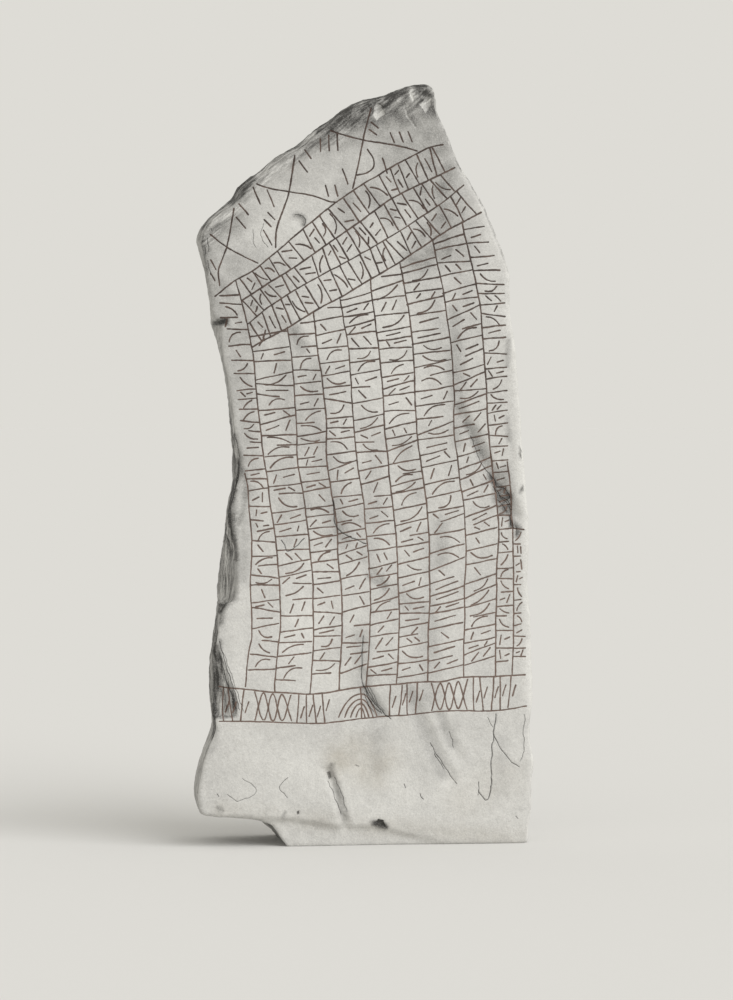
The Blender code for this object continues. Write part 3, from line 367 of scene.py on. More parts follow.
# How dark the broken top is along its run: x and share.
TOP_TONES = ((-0.571, 1.10), (-0.545, 1.00), (-0.530, 0.60), (-0.470, 0.60), (-0.455, 1.70),
             (-0.390, 1.60), (-0.370, 0.40), (-0.190, 0.35), (-0.175, 1.50), (-0.080, 1.60),
             (-0.060, 0.95), (0.040, 0.95), (0.060, 1.50), (0.190, 1.60))

# ---- The fine mesh ----
FINE_GRID = 0.0105  # between plain points of the front face
FINE_BACK_GRID = 0.020
FINE_STATION = 0.010  # between points along the outline of the fine mesh
FINE_STROKE_STEP = 0.0098  # between points along a stroke
ROUNDS_ACROSS = (4, 16, 5)  # strips between one ring of the slab and the next
ROUNDING = 6  # how many times the rings are smoothed
EDGE_GAP = 0.0045  # a stroke's rim keeps this far inside the edge of the fine front
GUARD = 0.0016  # a line this far outside a stroke's rim keeps the face beside it flat
CLEAR_OF_STROKES = 0.0075
WANDER = 0.0012  # how far a hand-cut stroke wanders sideways
SLOW_WANDER = {"rule": 0.0036, "stave": 0.0050, "cross": 0.0040}  # and more in slow waves
CRACK_WANDER = 0.0045  # and a crack in short jags
STAVE_REACH = 0.0040  # the staves run on to meet the ruled lines
WIDTH_SWING = 0.10  # the share by which one stroke is wider than another
UPPER = 1.62  # strokes that start above this height
UPPER_WIDER = 0.08  # are this much wider


# ---- Reading the outlines ----
def height_at(line, x):
    """Height of a line given as (x, z) points from left to right."""
    return np.interp(x, [p[0] for p in line], [p[1] for p in line])


def x_at(line, z):
    """Place of a line given as (x, z) points from bottom to top."""
    return np.interp(z, [p[1] for p in line], [p[0] for p in line])


def held(values):
    """Values held between 0 and 1."""
    return np.clip(values, 0.0, 1.0)


def between(a, b, pieces):
    """Places in equal steps from a towards b, without b itself."""
    return [a + (b - a) * i / pieces for i in range(pieces)]


def unit(ways):
    """Directions made one long."""
    return ways / np.hypot(ways[:, 0], ways[:, 1])[:, None]


def sideways(ways):
    """Directions turned to their left."""
    return np.column_stack([-ways[:, 1], ways[:, 0]])


def distance_to(points, line):
    """Distance of many (x, z) points to a line of straight pieces."""
    nearest = np.full(len(points), np.inf)
    for start, end in zip(line[:-1], line[1:]):
        a = np.array(start)
        along = np.array(end) - a
        share = held((points - a) @ along / max(along @ along, 1e-12))
        gap = points - (a + share[:, None] * along)
        nearest = np.minimum(nearest, np.hypot(gap[:, 0], gap[:, 1]))
    return nearest


def within(points, outline, margin):
    """Which points lie inside a closed outline, at least margin from it."""
    crossings = np.zeros(len(points), dtype=int)
    for (x0, z0), (x1, z1) in zip(outline, np.roll(outline, -1, axis=0)):
        spans = (z0 > points[:, 1]) != (z1 > points[:, 1])
        if z1 != z0:
            at = x0 + (points[:, 1] - z0) * (x1 - x0) / (z1 - z0)
            crossings += spans & (points[:, 0] < at)
    closed = np.vstack([outline, outline[:1]])
    return (crossings % 2 == 1) & (distance_to(points, closed) > margin)


def close_to(line, points, margin=0.0):
    """The numbers of the points in the box round a line, grown by a margin."""
    low = line.min(axis=0) - margin
    high = line.max(axis=0) + margin
    return np.flatnonzero(np.all((points > low) & (points < high), axis=1))


def longest_run(points, flags):
    """The longest unbroken run of the flagged points."""
    best, start = (0, 0), None
    for i, flag in enumerate([*flags, False]):
        if flag and start is None:
            start = i
        if not flag and start is not None:
            best = max(best, (i - start, -start))
            start = None
    return points[-best[1]:-best[1] + best[0]]


def patches(points, marks):
    """The strongest of several soft spots at each (x, z) point."""
    total = np.zeros(len(points))
    for line, reach, strength in marks:
        near = held(1.0 - distance_to(points, line) / reach)
        total = np.maximum(total, strength * near * near * (3.0 - 2.0 * near))
    return total


def fractal(points, scale, octaves, stretch=(1.0, 1.0, 1.0)):
    """Smooth noise of about -1 to 1 at each point, in several octaves."""
    scaled = points * (np.array(stretch) * scale)
    return np.array([noise.fractal(Vector(p), 1.0, 2.0, octaves) for p in scaled.tolist()])


# ---- The two faces ----
def waved(y, points, waves):
    """A face with its slow waves."""
    for height, along_x, along_z, start in waves:
        y = y + height * np.sin(along_x * points[:, 0] + along_z * points[:, 1] + start)
    return y


def worn_away(points, hollows):
    """How much the hollows take off at each point; their depths are in millimetres."""
    worn = np.zeros(len(points))
    for line, half_width, depth in hollows:
        near = held(1.0 - (distance_to(points, line) / half_width) ** 2)
        worn = np.maximum(worn, depth / 1000 * near ** 2)
    return worn


def flaked_off(points):
    """How much the flake low on the left has taken off at each point."""
    x, z = points[:, 0], points[:, 1]
    fall = np.clip((x_at(FLAKE_EDGE, z) - x) * FLAKE_SLOPE, 0.0, MOST_FLAKE)
    ledge = held((z - FLAKE_EDGE[0][1]) / FLAKE_LEDGE + 1.0)
    return fall * ledge * (z < FLAKE_EDGE[-1][1])


def flake_lines():
    """The lines that bound the bed of the flake: its edge, and its ledge's two."""
    x, top = FLAKE_EDGE[0]
    reach = [x - 0.02 * i for i in range(3)]
    return [FLAKE_EDGE[:-1], [(a, top) for a in reach], [(a, top - FLAKE_LEDGE) for a in reach]]


def front_y(points):
    """The front face without its strokes: a leaning plane, crowned, waved and worn."""
    x, z = points[:, 0], points[:, 1]
    y = FRONT_FOOT_Y + FRONT_LEAN * z / HEIGHT - FRONT_CROWN * np.cos(FRONT_ARCH * x)
    y = waved(y, points, FRONT_WAVES) + (worn_away(points, HOLLOWS) + flaked_off(points))
    lip = height_at(TOE_LIP, x)
    return y + held((lip - z) / TOE_SLOPE) * np.minimum(TOE_SETBACK, TOE_SHARE * lip)


def back_y(points):
    """The plain back face: crowned more than the front, waved and flaked."""
    x, z = points[:, 0], points[:, 1]
    y = BACK_FOOT_Y - BACK_LEAN * z / HEIGHT - BACK_CROWN * (1.0 - np.cos(BACK_ARCH * x))
    return waved(y, points, BACK_WAVES) - worn_away(points, BACK_HOLLOWS)


# ---- Strokes of the front face: a stroke is (kind, points) ----
def column_lines():
    """The ruled column lines, each from the line of the foot to a line of the bands."""
    lines = []
    for number, ((foot, _), *middle, (top, _)) in enumerate(COLUMN_LINES):
        band = BAND_LINES[3 if number else 0]
        lines.append([(foot, height_at(FOOT_TOP, foot)), *middle, (top, height_at(band, top))])
    return lines


def ruled_lines():
    outer = [OUTER_LEFT, OUTER_RIGHT, FOOT_TOP, FOOT_BOTTOM]
    return [("rule", line) for line in [*BAND_LINES, *column_lines(), *outer]]


def bow(start, end, bulge, pieces=4):
    """A bowed stroke from start to end, its middle pushed sideways by bulge."""
    a = np.array(start)
    along = np.array(end) - a
    side = np.array((-along[1], along[0])) / max(np.hypot(*along), 1e-9)
    steps = [i / pieces for i in range(pieces + 1)]
    return [a + t * along + side * bulge * 4.0 * t * (1.0 - t) for t in steps]


def fill_cell(draw, corner, across, down):
    """Free strokes between two rungs, clear of them and of each other.

    corner is where the cell starts, across and down are its two sides as vectors.
    """
    tall = np.hypot(*down)
    if tall < LOWEST_CELL:
        return []

    def place(u, v):
        return corner + u * across + v * down

    def tick(u, lean):
        low = draw.uniform(0.18, 0.32)
        high = draw.uniform(0.68, 0.82)
        return ("tick", [place(u - lean / 2, low), place(u + lean / 2, high)])

    def half(u0, u1):
        v = draw.uniform(0.40, 0.60)
        return ("tick", [place(u0, v + 0.06), place(u1, v - 0.06)])

    choice = draw.random()
    lean = draw.choice((-1, 1)) * draw.uniform(0.06, 0.26)
    if choice < 0.13:
        return [half(0.12, draw.uniform(0.42, 0.54)), tick(draw.uniform(0.70, 0.84), lean)]
    if choice < 0.25:
        return [half(draw.uniform(0.46, 0.58), 0.88), tick(draw.uniform(0.16, 0.30), lean)]
    if choice < 0.37:
        return [tick(draw.uniform(0.20, 0.38), lean), tick(draw.uniform(0.58, 0.80), lean)]
    if choice < 0.50:
        return [tick(draw.uniform(0.22, 0.78), lean)]
    if choice < 0.60:
        return [half(draw.uniform(0.12, 0.24), draw.uniform(0.66, 0.88))]
    bulge = draw.uniform(0.06, 0.15) * np.hypot(*across)
    bulge = draw.choice((-1, 1)) * min(bulge, 0.28 * tall)
    u0 = draw.uniform(0.08, 0.30)
    u1 = draw.uniform(0.70, 0.90)
    if choice < 0.84:
        return [("bow", bow(place(u0, 0.80), place(u1, 0.20), bulge))]
    return [("bow", bow(place(u0, 0.22), place(u1, 0.78), bulge))]


def cut_short(draw, rung):
    """A rung, or now and then only the part of it that starts at one of its ends."""
    start, end = rung if draw.random() < 0.5 else rung[::-1]
    if draw.random() > SHORT_RUNGS:
        return [start, end]
    return [start, start + draw.uniform(0.50, 0.75) * (end - start)]


def ladder(draw, left, right, top, bottom, tilt):
    """A column of strokes between two upright lines: rungs with free strokes between them."""
    strokes = []
    z = top - 0.5 * ROW_PITCH
    last = None
    while z > bottom + 0.4 * ROW_PITCH:
        slope = math.tan(math.radians(draw.gauss(tilt, RUNG_SWAY)))
        x0 = x_at(left, z) + LINE_GAP
        x1 = x_at(right, z) - LINE_GAP
        rise = 0.5 * slope * (x1 - x0)
        rung = np.array([(x0, z - rise), (x1, z + rise)])
        if last is not None:
            down = (rung[0] - last[0] + rung[1] - last[1]) / 2
            strokes += fill_cell(draw, last[0], last[1] - last[0], down)
        strokes.append(("stave", cut_short(draw, rung)))
        last = rung
        z -= ROW_PITCH * draw.uniform(*ROW_SPREAD)
    return strokes


def under_band(number, band, left, right, tilt):
    """Rungs in the corner that a slanted band leaves above the first whole rung of a column."""
    draw = random.Random(140 + number)
    strokes = []
    z = left[-1][1] + 0.40 * ROW_PITCH
    while z < right[-1][1] - 0.25 * ROW_PITCH:
        slope = math.tan(math.radians(draw.gauss(tilt, CORNER_SWAY)))
        end = x_at(right, z) - LINE_GAP
        places = np.linspace(x_at(left, z) + LINE_GAP, end, 40)
        levels = z - slope * (end - places)
        clear = np.flatnonzero(height_at(band, places) - levels > 2 * LINE_GAP)
        if len(clear) and end - places[clear[0]] > SHORTEST_STROKE:
            strokes.append(("stave", [(places[clear[0]], levels[clear[0]]), (end, z)]))
        z += ROW_PITCH * draw.uniform(0.66, 0.90)
    return strokes


def column_strokes():
    strokes = []
    lines = column_lines()
    for number, (left, right) in enumerate(zip(lines[:-1], lines[1:])):
        top = min(left[-1][1], right[-1][1])
        bottom = max(left[0][1], right[0][1])
        tilt = 4.0 + 1.8 * number
        strokes += ladder(random.Random(100 + number), left, right, top, bottom, tilt)
        if number > 0:
            strokes += under_band(number, BAND_LINES[3], left, right, tilt)
    strokes += ladder(random.Random(120), LEFT_BORDER, lines[0], *LEFT_RUN)
    strokes += under_band(20, BAND_LINES[0], LEFT_BORDER, lines[0], LEFT_RUN[-1])
    strokes += ladder(random.Random(121), lines[-1], RIGHT_BORDER, *RIGHT_RUN)
    strokes += ladder(random.Random(122), RIGHT_BORDER[:3], EDGE_BORDER, *EDGE_RUN)
    return strokes


def band_strokes():
    """Staves about square to the three slanted bands, with free strokes between them."""
    strokes = []
    for number, (upper, lower) in enumerate(zip(BAND_LINES[:-1], BAND_LINES[1:])):
        draw = random.Random(200 + number)
        x = lower[0][0] + BAND_START
        last = None
        while x < lower[-1][0] - BAND_END:
            foot = np.array((x, height_at(lower, x)))
            there = x + SLOPE_REACH
            ahead = np.array((there, height_at(lower, there))) - foot
            turn = math.radians(90.0 + draw.gauss(0.0, STAVE_SWAY)) + math.atan2(ahead[1], ahead[0])
            square = np.array((math.cos(turn), math.sin(turn)))
            tall = 0.0
            for _ in range(4):
                head = foot + square * tall
                tall += 0.8 * (height_at(upper, head[0]) - head[1])
            head = foot + square * (tall - LINE_GAP)
            foot = foot + square * LINE_GAP
            if last is not None:
                down = (foot - last[1] + head - last[0]) / 2
                strokes += fill_cell(draw, last[1], last[0] - last[1], down)
            strokes.append(("stave", [foot, head]))
            last = (head, foot)
            x += STAVE_PITCH * draw.uniform(*STAVE_SPREAD)
    return strokes


def foot_strokes():
    """The foot band: runs of leaning staves, stretches of zigzag lattice, a nest of arches."""
    strokes = []
    draw = random.Random(300)
    for start, end, pattern in FOOT_RUNS:
        count = round((end - start) / FOOT_PITCH)
        marks = [start + (end - start) * i / count for i in range(count + 1)]
        lows = height_at(FOOT_BOTTOM, marks) + LINE_GAP
        highs = height_at(FOOT_TOP, marks) - LINE_GAP
        if pattern == "lattice":
            for levels in ((lows, highs), (highs, lows)):
                strokes.append(("cross", [(x, levels[i % 2][i]) for i, x in enumerate(marks)]))
            continue
        for x, low, high in zip(marks[:-1], lows, highs):
            lean = draw.uniform(*FOOT_LEAN)
            strokes.append(("stave", [(x, low), (x + lean, high)]))
            middle = (low + high) / 2 + draw.uniform(-FOOT_SHIFT, FOOT_SHIFT)
            inner = x + lean / 2 + 0.3 * FOOT_PITCH
            outer = inner + 0.4 * FOOT_PITCH
            strokes.append(("tick", [(inner, middle - 0.022), (outer, middle + 0.014)]))
    floor = height_at(FOOT_BOTTOM, NEST) + LINE_GAP
    for reach, rise in NEST_ARCHES:
        arch = []
        for turn in range(9):
            angle = math.pi * turn / 8
            side = reach * math.cos(angle) * (1.0 if turn < 4 else NEST_RIGHT)
            arch.append((NEST - side, floor + rise * abs(math.sin(angle)) ** 1.7))
        strokes.append(("arch", arch))
    strokes.append(("stave", [(NEST, floor + 0.002), (NEST, floor + NEST_POST)]))
    return strokes


def field_strokes():
    """The top field: three big crosses, with groups of short strokes beside their arms."""
    strokes = [("cross", line) for line in CROSSES]
    for count, *places in TICK_GROUPS:
        start, reach, step = np.array(path(*places))
        strokes += [("tick", [start + i * step, start + i * step + reach]) for i in range(count)]
    return strokes + [("bow", bow(*FIELD_BOW))]


def trim(line, outline):
    """The longest run of a line that lies on the front face, clear of its edge."""
    fine = []
    for a, b in zip(line[:-1], line[1:]):
        pieces = max(1, math.ceil(math.dist(a, b) / TRIM_STEP))
        for i in range(pieces):
            share = i / pieces
            fine.append((i == 0, a[0] + share * (b[0] - a[0]), a[1] + share * (b[1] - a[1])))
    fine.append((True, *line[-1]))
    kept = longest_run(fine, within(np.array([p[1:] for p in fine]), outline, EDGE_MARGIN))
    return [p[1:] for p in kept if p[0] or p in (kept[0], kept[-1])]


def all_strokes(outline):
    strokes = ruled_lines() + column_strokes() + band_strokes() + foot_strokes() + field_strokes()
    strokes += [("crack", line) for line in CRACKS]
    trimmed = [(kind, trim(line, outline)) for kind, line in strokes]
    return [(kind, line) for kind, line in trimmed
            if len(line) > 1 and math.dist(line[0], line[-1]) > SHORTEST_STROKE / 2]


# ---- The outline and the rings of the slab ----
def stations(controls):
    """The control values of an outline, with more between them where they lie far apart."""
    values = []
    for a, b in zip(controls[:-1], controls[1:]):
        values += between(a, b, max(1, math.ceil(abs(b - a) / STATION)))
    return values + [controls[-1]]


def turned_gently(directions, reach=3):
    """Directions along an outline, averaged with their neighbours so that they fan at corners."""
    gentle = np.zeros_like(directions)
    count = len(directions)
    for shift in range(-reach, reach + 1):
        gentle += directions[np.clip(np.arange(count) + shift, 0, count - 1)]
    return unit(gentle)


def outline_rings():
    """The slab's rings from the front edge to the back edge, as arrays of (x, y, z).

    Every ring has the same stations: up the left side, along the top, down the right side and
    back along the ground.
    """
    rows = []
    for z in stations([p[1] for p in LEFT_EDGE]):
        side = x_at(LEFT_SIDE, z)
        edge = max(x_at(LEFT_EDGE, z), side + LEAST_EDGE)
        scar = max(0.0, edge - side - LEAST_SCAR)
        depth = min(MOST_SCAR_DEPTH, EDGE_DEPTH + SCAR_DEPTH * scar)
        rows.append(((edge, z), (side, z), (1.0, 0.0), depth))
    for x in stations([p[0] for p in TOP_EDGE]):
        z = height_at(TOP_EDGE, x)
        inward = (0.5, -0.8) if x < 0.10 else (-0.2, -1.0)
        rows.append(((x + TOP_DRIFT * (PEAK - x), z - TOP_BEVEL), (x, z), inward, TOP_BEVEL_DEPTH))
    for z in stations([p[1] for p in reversed(RIGHT_EDGE)]):
        side = x_at(RIGHT_EDGE, z)
        rows.append(((side - RIGHT_BEVEL, z), (side, z), (-1.0, 0.0), EDGE_DEPTH))
    front, whole, inward, depth = (np.array(column) for column in zip(*rows))
    inward = turned_gently(inward)
    shapes = [front, whole, whole + BACK_CORNER_INSET * inward, whole + BACK_EDGE_INSET * inward]

    foot_right, foot_left = RIGHT_EDGE[0][0], LEFT_EDGE[0][0]
    ground = stations([foot_right] + [p[0] for p in reversed(BASE_EDGE[1:-1])])[1:]
    shares = np.array([(foot_right - x) / (foot_right - foot_left) for x in ground])
    flats = []
    for shape in shapes:
        base_x = shape[-1][0] + shares * (shape[0][0] - shape[-1][0])
        flats.append(np.vstack([shape, np.column_stack([base_x, height_at(BASE_EDGE, base_x)])]))
    depth = np.concatenate([depth, np.full(len(shares), EDGE_DEPTH)])
    ys = [front_y(flats[0]) + FRONT_ROLL, front_y(flats[1]) + depth,
          back_y(flats[2]) - BACK_CORNER_DEPTH, back_y(flats[3])]
    return [np.column_stack([flat[:, 0], y, flat[:, 1]]) for flat, y in zip(flats, ys)]


def roughen_sides(rings):
    """Break the straight run of the sides: the two middle rings are shifted a little."""
    for number in (1, 2):
        for point in rings[number]:
            if point[2] > STEADY_FOOT:
                shift = noise.noise(Vector((point[0] * 6.0, number * 3.7, point[2] * 6.0)))
                point[1] += SIDE_ROUGHNESS * shift


def refine_rings(rings):
    """The slab's rings with a point about every FINE_STATION."""
    closed = [np.vstack([ring, ring[:1]]) for ring in rings]
    fine = [[] for ring in rings]
    for i in range(len(rings[0])):
        longest = max(math.dist(ring[i], ring[i + 1]) for ring in closed)
        pieces = max(1, round(longest / FINE_STATION))
        for points, ring in zip(fine, closed):
            points += between(ring[i], ring[i + 1], pieces)
    return [np.array(points) for points in fine]


def rounded(grid):
    """Points on a closed grid (across, along), each moved towards its neighbours' middle."""
    for _ in range(ROUNDING):
        along = (np.roll(grid, 1, axis=1) + np.roll(grid, -1, axis=1)) / 2
        across = grid.copy()
        across[1:-1] = (grid[:-2] + grid[2:]) / 2
        middle = (along + across) / 2
        middle[0] = along[0]
        middle[-1] = along[-1]
        grid = grid + 0.5 * (middle - grid)
    return grid


# ---- The front sheet ----
def smooth_line(line):
    """A line as a smooth curve through its points, with one about every FINE_STROKE_STEP."""
    points = np.array(line, dtype=float)
    if len(points) == 2:
        pieces = max(1, round(math.dist(*points) / FINE_STROKE_STEP))
        return np.linspace(points[0], points[1], pieces + 1)
    ends = np.vstack([2 * points[0] - points[1], points, 2 * points[-1] - points[-2]])
    fine = []
    for before, a, b, after in zip(ends[:-3], ends[1:-2], ends[2:-1], ends[3:]):
        length = math.dist(a, b)
        reach_a = (b - before) * length / max(math.dist(before, a) + length, 1e-9)
        reach_b = (after - a) * length / max(math.dist(b, after) + length, 1e-9)
        pieces = max(1, round(length / FINE_STROKE_STEP))
        for i in range(pieces):
            t = i / pieces
            fine.append((2 * t**3 - 3 * t**2 + 1) * a + (t**3 - 2 * t**2 + t) * reach_a
                        + (3 * t**2 - 2 * t**3) * b + (t**3 - t**2) * reach_b)
    fine.append(points[-1])
    return np.array(fine)


def hand_cut(kind, line, number):
    """A stroke as it was cut: smooth and wandering; a stave runs on to the ruled lines."""
    fine = smooth_line(line)
    if kind == "stave":
        for end, inner in ((0, 1), (-1, -2)):
            outwards = fine[end] - fine[inner]
            fine[end] += outwards / np.hypot(*outwards) * STAVE_REACH
    sides = unit(sideways(np.gradient(fine, axis=0)))
    for point, side in zip(fine, sides):
        where = Vector((point[0], number * 1.7, point[1]))
        shift = WANDER * noise.noise(where * 30.0)
        if kind in SLOW_WANDER:
            shift += SLOW_WANDER[kind] * noise.noise(where * 9.0)
        if kind == "crack":
            shift += CRACK_WANDER * noise.fractal(where * 45.0, 1.0, 2.0, 2)
        point += side * shift
    return fine


def ring_of(floor, reach):
    """A closed loop round a line, at one distance from it, with blunt ends."""
    steps = unit(np.diff(floor, axis=0))
    ways = unit(np.vstack([steps[:1], (steps[:-1] + steps[1:]) / 2, steps[-1:]]))
    sides = sideways(ways) * reach
    start = floor[:1] - steps[:1] * reach
    end = floor[-1:] + steps[-1:] * reach
    return np.vstack([start, floor + sides, end, (floor - sides)[::-1]])


def cut_shares(points, strokes):
    """How far into a stroke each point lies: 0 at the rim or outside, 1 on the floor line."""
    shares = np.zeros(len(points))
    for floor, width in strokes:
        near = close_to(floor, points, width)
        gap = distance_to(points[near], floor)
        shares[near] = np.maximum(shares[near], held(1.0 - gap / (width / 2)))
    return shares


def chip_loops():
    """The ragged outlines of the chips."""
    loops = []
    for number, (outline, _, _) in enumerate(CHIPS):
        corners = np.array(outline)
        ring = []
        for a, b in zip(corners, np.roll(corners, -1, axis=0)):
            ring += between(a, b, max(1, round(math.dist(a, b) / CHIP_STEP)))
        ring = np.array(ring)
        middle = ring.mean(axis=0)
        for point in ring:
            way = (point - middle) / np.hypot(*(point - middle))
            where = Vector((point[0] * 150.0, number, point[1] * 150.0))
            point += way * CHIP_JAGS * noise.noise(where)
        loops.append(ring)
    return loops


def shrunk(ring, by):
    """A closed loop moved inwards by a distance."""
    middle = ring.mean(axis=0)
    outwards = ring - middle
    reach = np.hypot(outwards[:, 0], outwards[:, 1])[:, None]
    return middle + outwards * np.maximum(1.0 - by / reach, 0.3)


def chip_values(points):
    """How deep the chips cut at each (x, z) point, and how much darker (painted shade in a pit) or paler
    they make it.
    """
    depths = np.zeros(len(points))
    tones = np.zeros(len(points))
    for ring, (_, depth, tone) in zip(chip_loops(), CHIPS):
        near = close_to(ring, points)
        inside = within(points[near], ring, 0.0)
        wall = distance_to(points[near], np.vstack([ring, ring[:1]])) / (0.8 * CHIP_WALL)
        share = held(wall) * inside
        depths[near] = np.maximum(depths[near], depth * share)
        tones[near] += tone * share
    return depths, tones


def spread_points(outline, spacing, keep_clear=()):
    """Plain points inside an outline, in staggered rows, clear of the outline and of strokes."""
    low = outline.min(axis=0)
    high = outline.max(axis=0)
    rows = []
    for j, z in enumerate(np.arange(low[1] + spacing / 2, high[1], spacing * 0.866)):
        start = low[0] + spacing * (0.25 + 0.5 * (j % 2))
        rows += [(x, z) for x in np.arange(start, high[0], spacing)]
    points = np.array(rows)
    points = points[within(points, outline, spacing * 0.45)]
    for line in keep_clear:
        points = points[distance_to(points, line) > CLEAR_OF_STROKES]
    return points


def triangulate(outline, points, loops=(), chains=()):
    """A flat sheet from its outline, plain points, closed loops and open chains.

    Its points, its triangles and the numbers of the points on the outline.
    """
    places, edges = [], []
    for number, line in enumerate([outline, *loops, *chains]):
        first, count = len(places), len(line)
        places += [Vector(p) for p in line]
        joined = count if number <= len(loops) else count - 1
        edges += [(first + i, first + (i + 1) % count) for i in range(joined)]
    places += [Vector(p) for p in points]
    corners, _, faces, origins, _, _ = delaunay_2d_cdt(places, edges, [], 1, 1e-5)
    found = {place: index for index, sources in enumerate(origins) for place in sources}
    rim = [found[i] for i in range(len(outline))]
    return np.array([tuple(corner) for corner in corners]), [tuple(face) for face in faces], rim


def front_sheet(outline, stroke_outline):
    """The front face as a flat sheet that follows every stroke: points, triangles, rim, shares."""
    cuts = []
    for number, (kind, line) in enumerate(all_strokes(stroke_outline)):
        width = CRACK_WIDTH if kind == "crack" else STROKE_WIDTH
        width *= 1.0 + WIDTH_SWING * math.sin(number * 2.4)
        width *= 1.0 + UPPER_WIDER * (line[0][1] > UPPER)
        cuts.append((kind, hand_cut(kind, line, number), width))
    for number, (strength, *places) in enumerate(SCRATCHES):
        cuts.append(("crack", hand_cut("crack", path(*places), number), SCRATCH_WIDTH * strength))
    floors = [floor for kind, floor, width in cuts]
    margins = [np.full(len(floor), width / 2 + EDGE_GAP) for kind, floor, width in cuts]
    inside = within(np.vstack(floors), outline, np.concatenate(margins))
    ends = np.cumsum([len(floor) for floor in floors])[:-1]
    painted, cracked, loops, chains = [], [], [], []
    for (kind, floor, width), flags in zip(cuts, np.split(inside, ends)):
        floor = longest_run(floor, flags)
        if len(floor) < 2:
            continue
        (cracked if kind == "crack" else painted).append((floor, width))
        chains.append(floor)
        loops += [ring_of(floor, width / 2), ring_of(floor, width / 2 + GUARD)]
    for ring in chip_loops():
        loops += [ring, shrunk(ring, CHIP_WALL)]
    chains += [smooth_line(line) for line in flake_lines()]
    plain = spread_points(outline, FINE_GRID, [floor for floor, width in painted + cracked])
    flat, faces, rim = triangulate(outline, plain, loops, chains)
    return flat, faces, rim, cut_shares(flat, painted), cut_shares(flat, cracked)


# ---- Weathering ----
FRONT_SKIN = 0.0010  # how rough the dressed front face is
SIDE_SKIN = 0.0035  # and the broken sides and back
SCAR_RIDGES = 0.0050  # upright ridges in the spalled scars
MOTTLE = ((6.0, 0.040), (38.0, 0.045))  # scale and strength of the cloudy tone
FADE_END = -0.06  # the marks of the front, and the tones of its rim, fade out up to this y
MARKS_FADE = 0.06  # over this depth
RIM_FADE = 0.08
SUNK = 0.0002  # the bed of the flake is where more than this has come off
WHOLE_EDGE = 0.35  # how much of the painted shade along the broken edges shows on the whole face beside the bed
LOWEST_TOP = 1.5  # what faces up above this height is toned as the broken top
RIDGED_TOP = 1.8  # and above this one it is ridged
RIDGED_SIDE = 1.9  # the left side is ridged below this height
SCARS_END = -0.38  # the scars lie to the left of this
# How much darker than the rest the parts of the sides are. The left side and its scars are darker as
# painted shade, and the side facing right is paler as painted light, as from a light on the right.
TOP_TONE = 0.60
LEFT_SHADE = 0.12
RIGHT_LIGHT = -0.18
SCAR_SHADE = 0.30


def scarred(points):
    """How far each point lies in a spalled scar, which slants up and fades towards the back."""
    x, y, z = points.T
    raised = 0.45 * (y + 0.17) + 0.10 * fractal(points, 9.0, 2)
    return patches(np.column_stack([x, z - raised]), SCARS) * np.clip(0.75 - 3.0 * y, 0.3, 1.0)


def darkness(points, normals, on_front):
    """How dark the stone is at each point, in the frame of the outlines, with painted shade in its recesses
    and breaks and on its left side, and painted light on its right side.
    """
    x, y, z = points.T
    flat = points[:, [0, 2]]
    mottle = sum(strength * fractal(points, scale, 3) for scale, strength in MOTTLE)
    near_face = held((FADE_END - y) / MARKS_FADE)
    near_rim = held((FADE_END - y) / RIM_FADE)
    dark = patches(flat, DARK_AND_SHADED_PATCHES)
    pale = patches(flat, PALE_AND_LIT_PATCHES) * near_face
    edges = patches(flat, SHADED_BREAK_EDGES) * near_face
    edges *= np.where(on_front & (flaked_off(flat) < SUNK), WHOLE_EDGE, 1.0)

    front = BARE + dark * (1.0 + 0.5 * fractal(points, 22.0, 3)) + mottle
    front += FLAKE_SHADE * held(flaked_off(flat) / 0.003)
    front += edges - pale + chip_values(flat)[1]

    up = held(1.15 * normals[:, 2] - 0.05) * (z > LOWEST_TOP)
    up *= 0.55 + near_rim * (height_at(TOP_TONES, x) - 0.55)
    # Faces turned to the right are paler and faces turned to the left darker: painted light and painted
    # shade, as from a light on the right.
    up *= 1.0 - 0.75 * held(1.3 * normals[:, 0])
    left = held(-normals[:, 0]) * (y < 0.12)
    right = held(normals[:, 0]) * (y < 0.12) * held((2.20 - z) / 0.45)
    side = BARE_SIDE + TOP_TONE * up + LEFT_SHADE * left + RIGHT_LIGHT * right
    side += SCAR_SHADE * scarred(points) * left
    side += 1.6 * mottle + 0.12 * fractal(points, 26.0, 4) + edges - pale
    # The strongest dark patches, such as the painted shade in the notch, run on onto the sides beside the
    # face.
    notch = dark * near_face * (dark > 0.6)
    return held(np.where(on_front, front, np.maximum(side, notch)))


def broken_side(points, normals, on_front):
    """Where the left side is broken in upright ridges."""
    _, y, z = points.T
    left = held(-1.6 * normals[:, 0]) * (z < RIDGED_SIDE) * np.clip(0.9 - 3.0 * y, 0.35, 1.0)
    bed = 0.8 * held(flaked_off(points[:, [0, 2]]) / 0.006)
    return np.where(on_front, bed, left * (0.35 + 0.65 * scarred(points)))


def broken_top(points, normals, on_front):
    """Where the slanting top is broken in ridges that run along it."""
    _, y, z = points.T
    top = held(1.4 * normals[:, 2]) * (z > RIDGED_TOP) * np.clip(0.6 - 4.0 * y, 0.35, 1.0)
    return np.where(on_front, patches(points[:, [0, 2]], TOP_RIM), top)


def weathered(points, normals, on_front, foot):
    """The skin: the dressed front finely rough, the sides and back broken, the scars ridged."""
    coarse = fractal(points, 9.0, 4)
    fine = fractal(points, 45.0, 4)
    scar = patches(points[:, [0, 2]], SCARS) * (points[:, 0] < SCARS_END)
    ridges = 1.0 - 2.0 * np.abs(fractal(points, 24.0, 3, (1.0, 1.6, 0.22)))
    side = SIDE_SKIN * (1.1 * coarse + 0.7 * fine) + SCAR_RIDGES * scar * (ridges - 0.5)
    moved = points + normals * np.where(on_front, 0.0, side)[:, None]
    moved[:, 1] += np.where(on_front, FRONT_SKIN * (0.9 * coarse + 0.7 * fine), 0.0)
    moved[foot] = points[foot]
    return moved


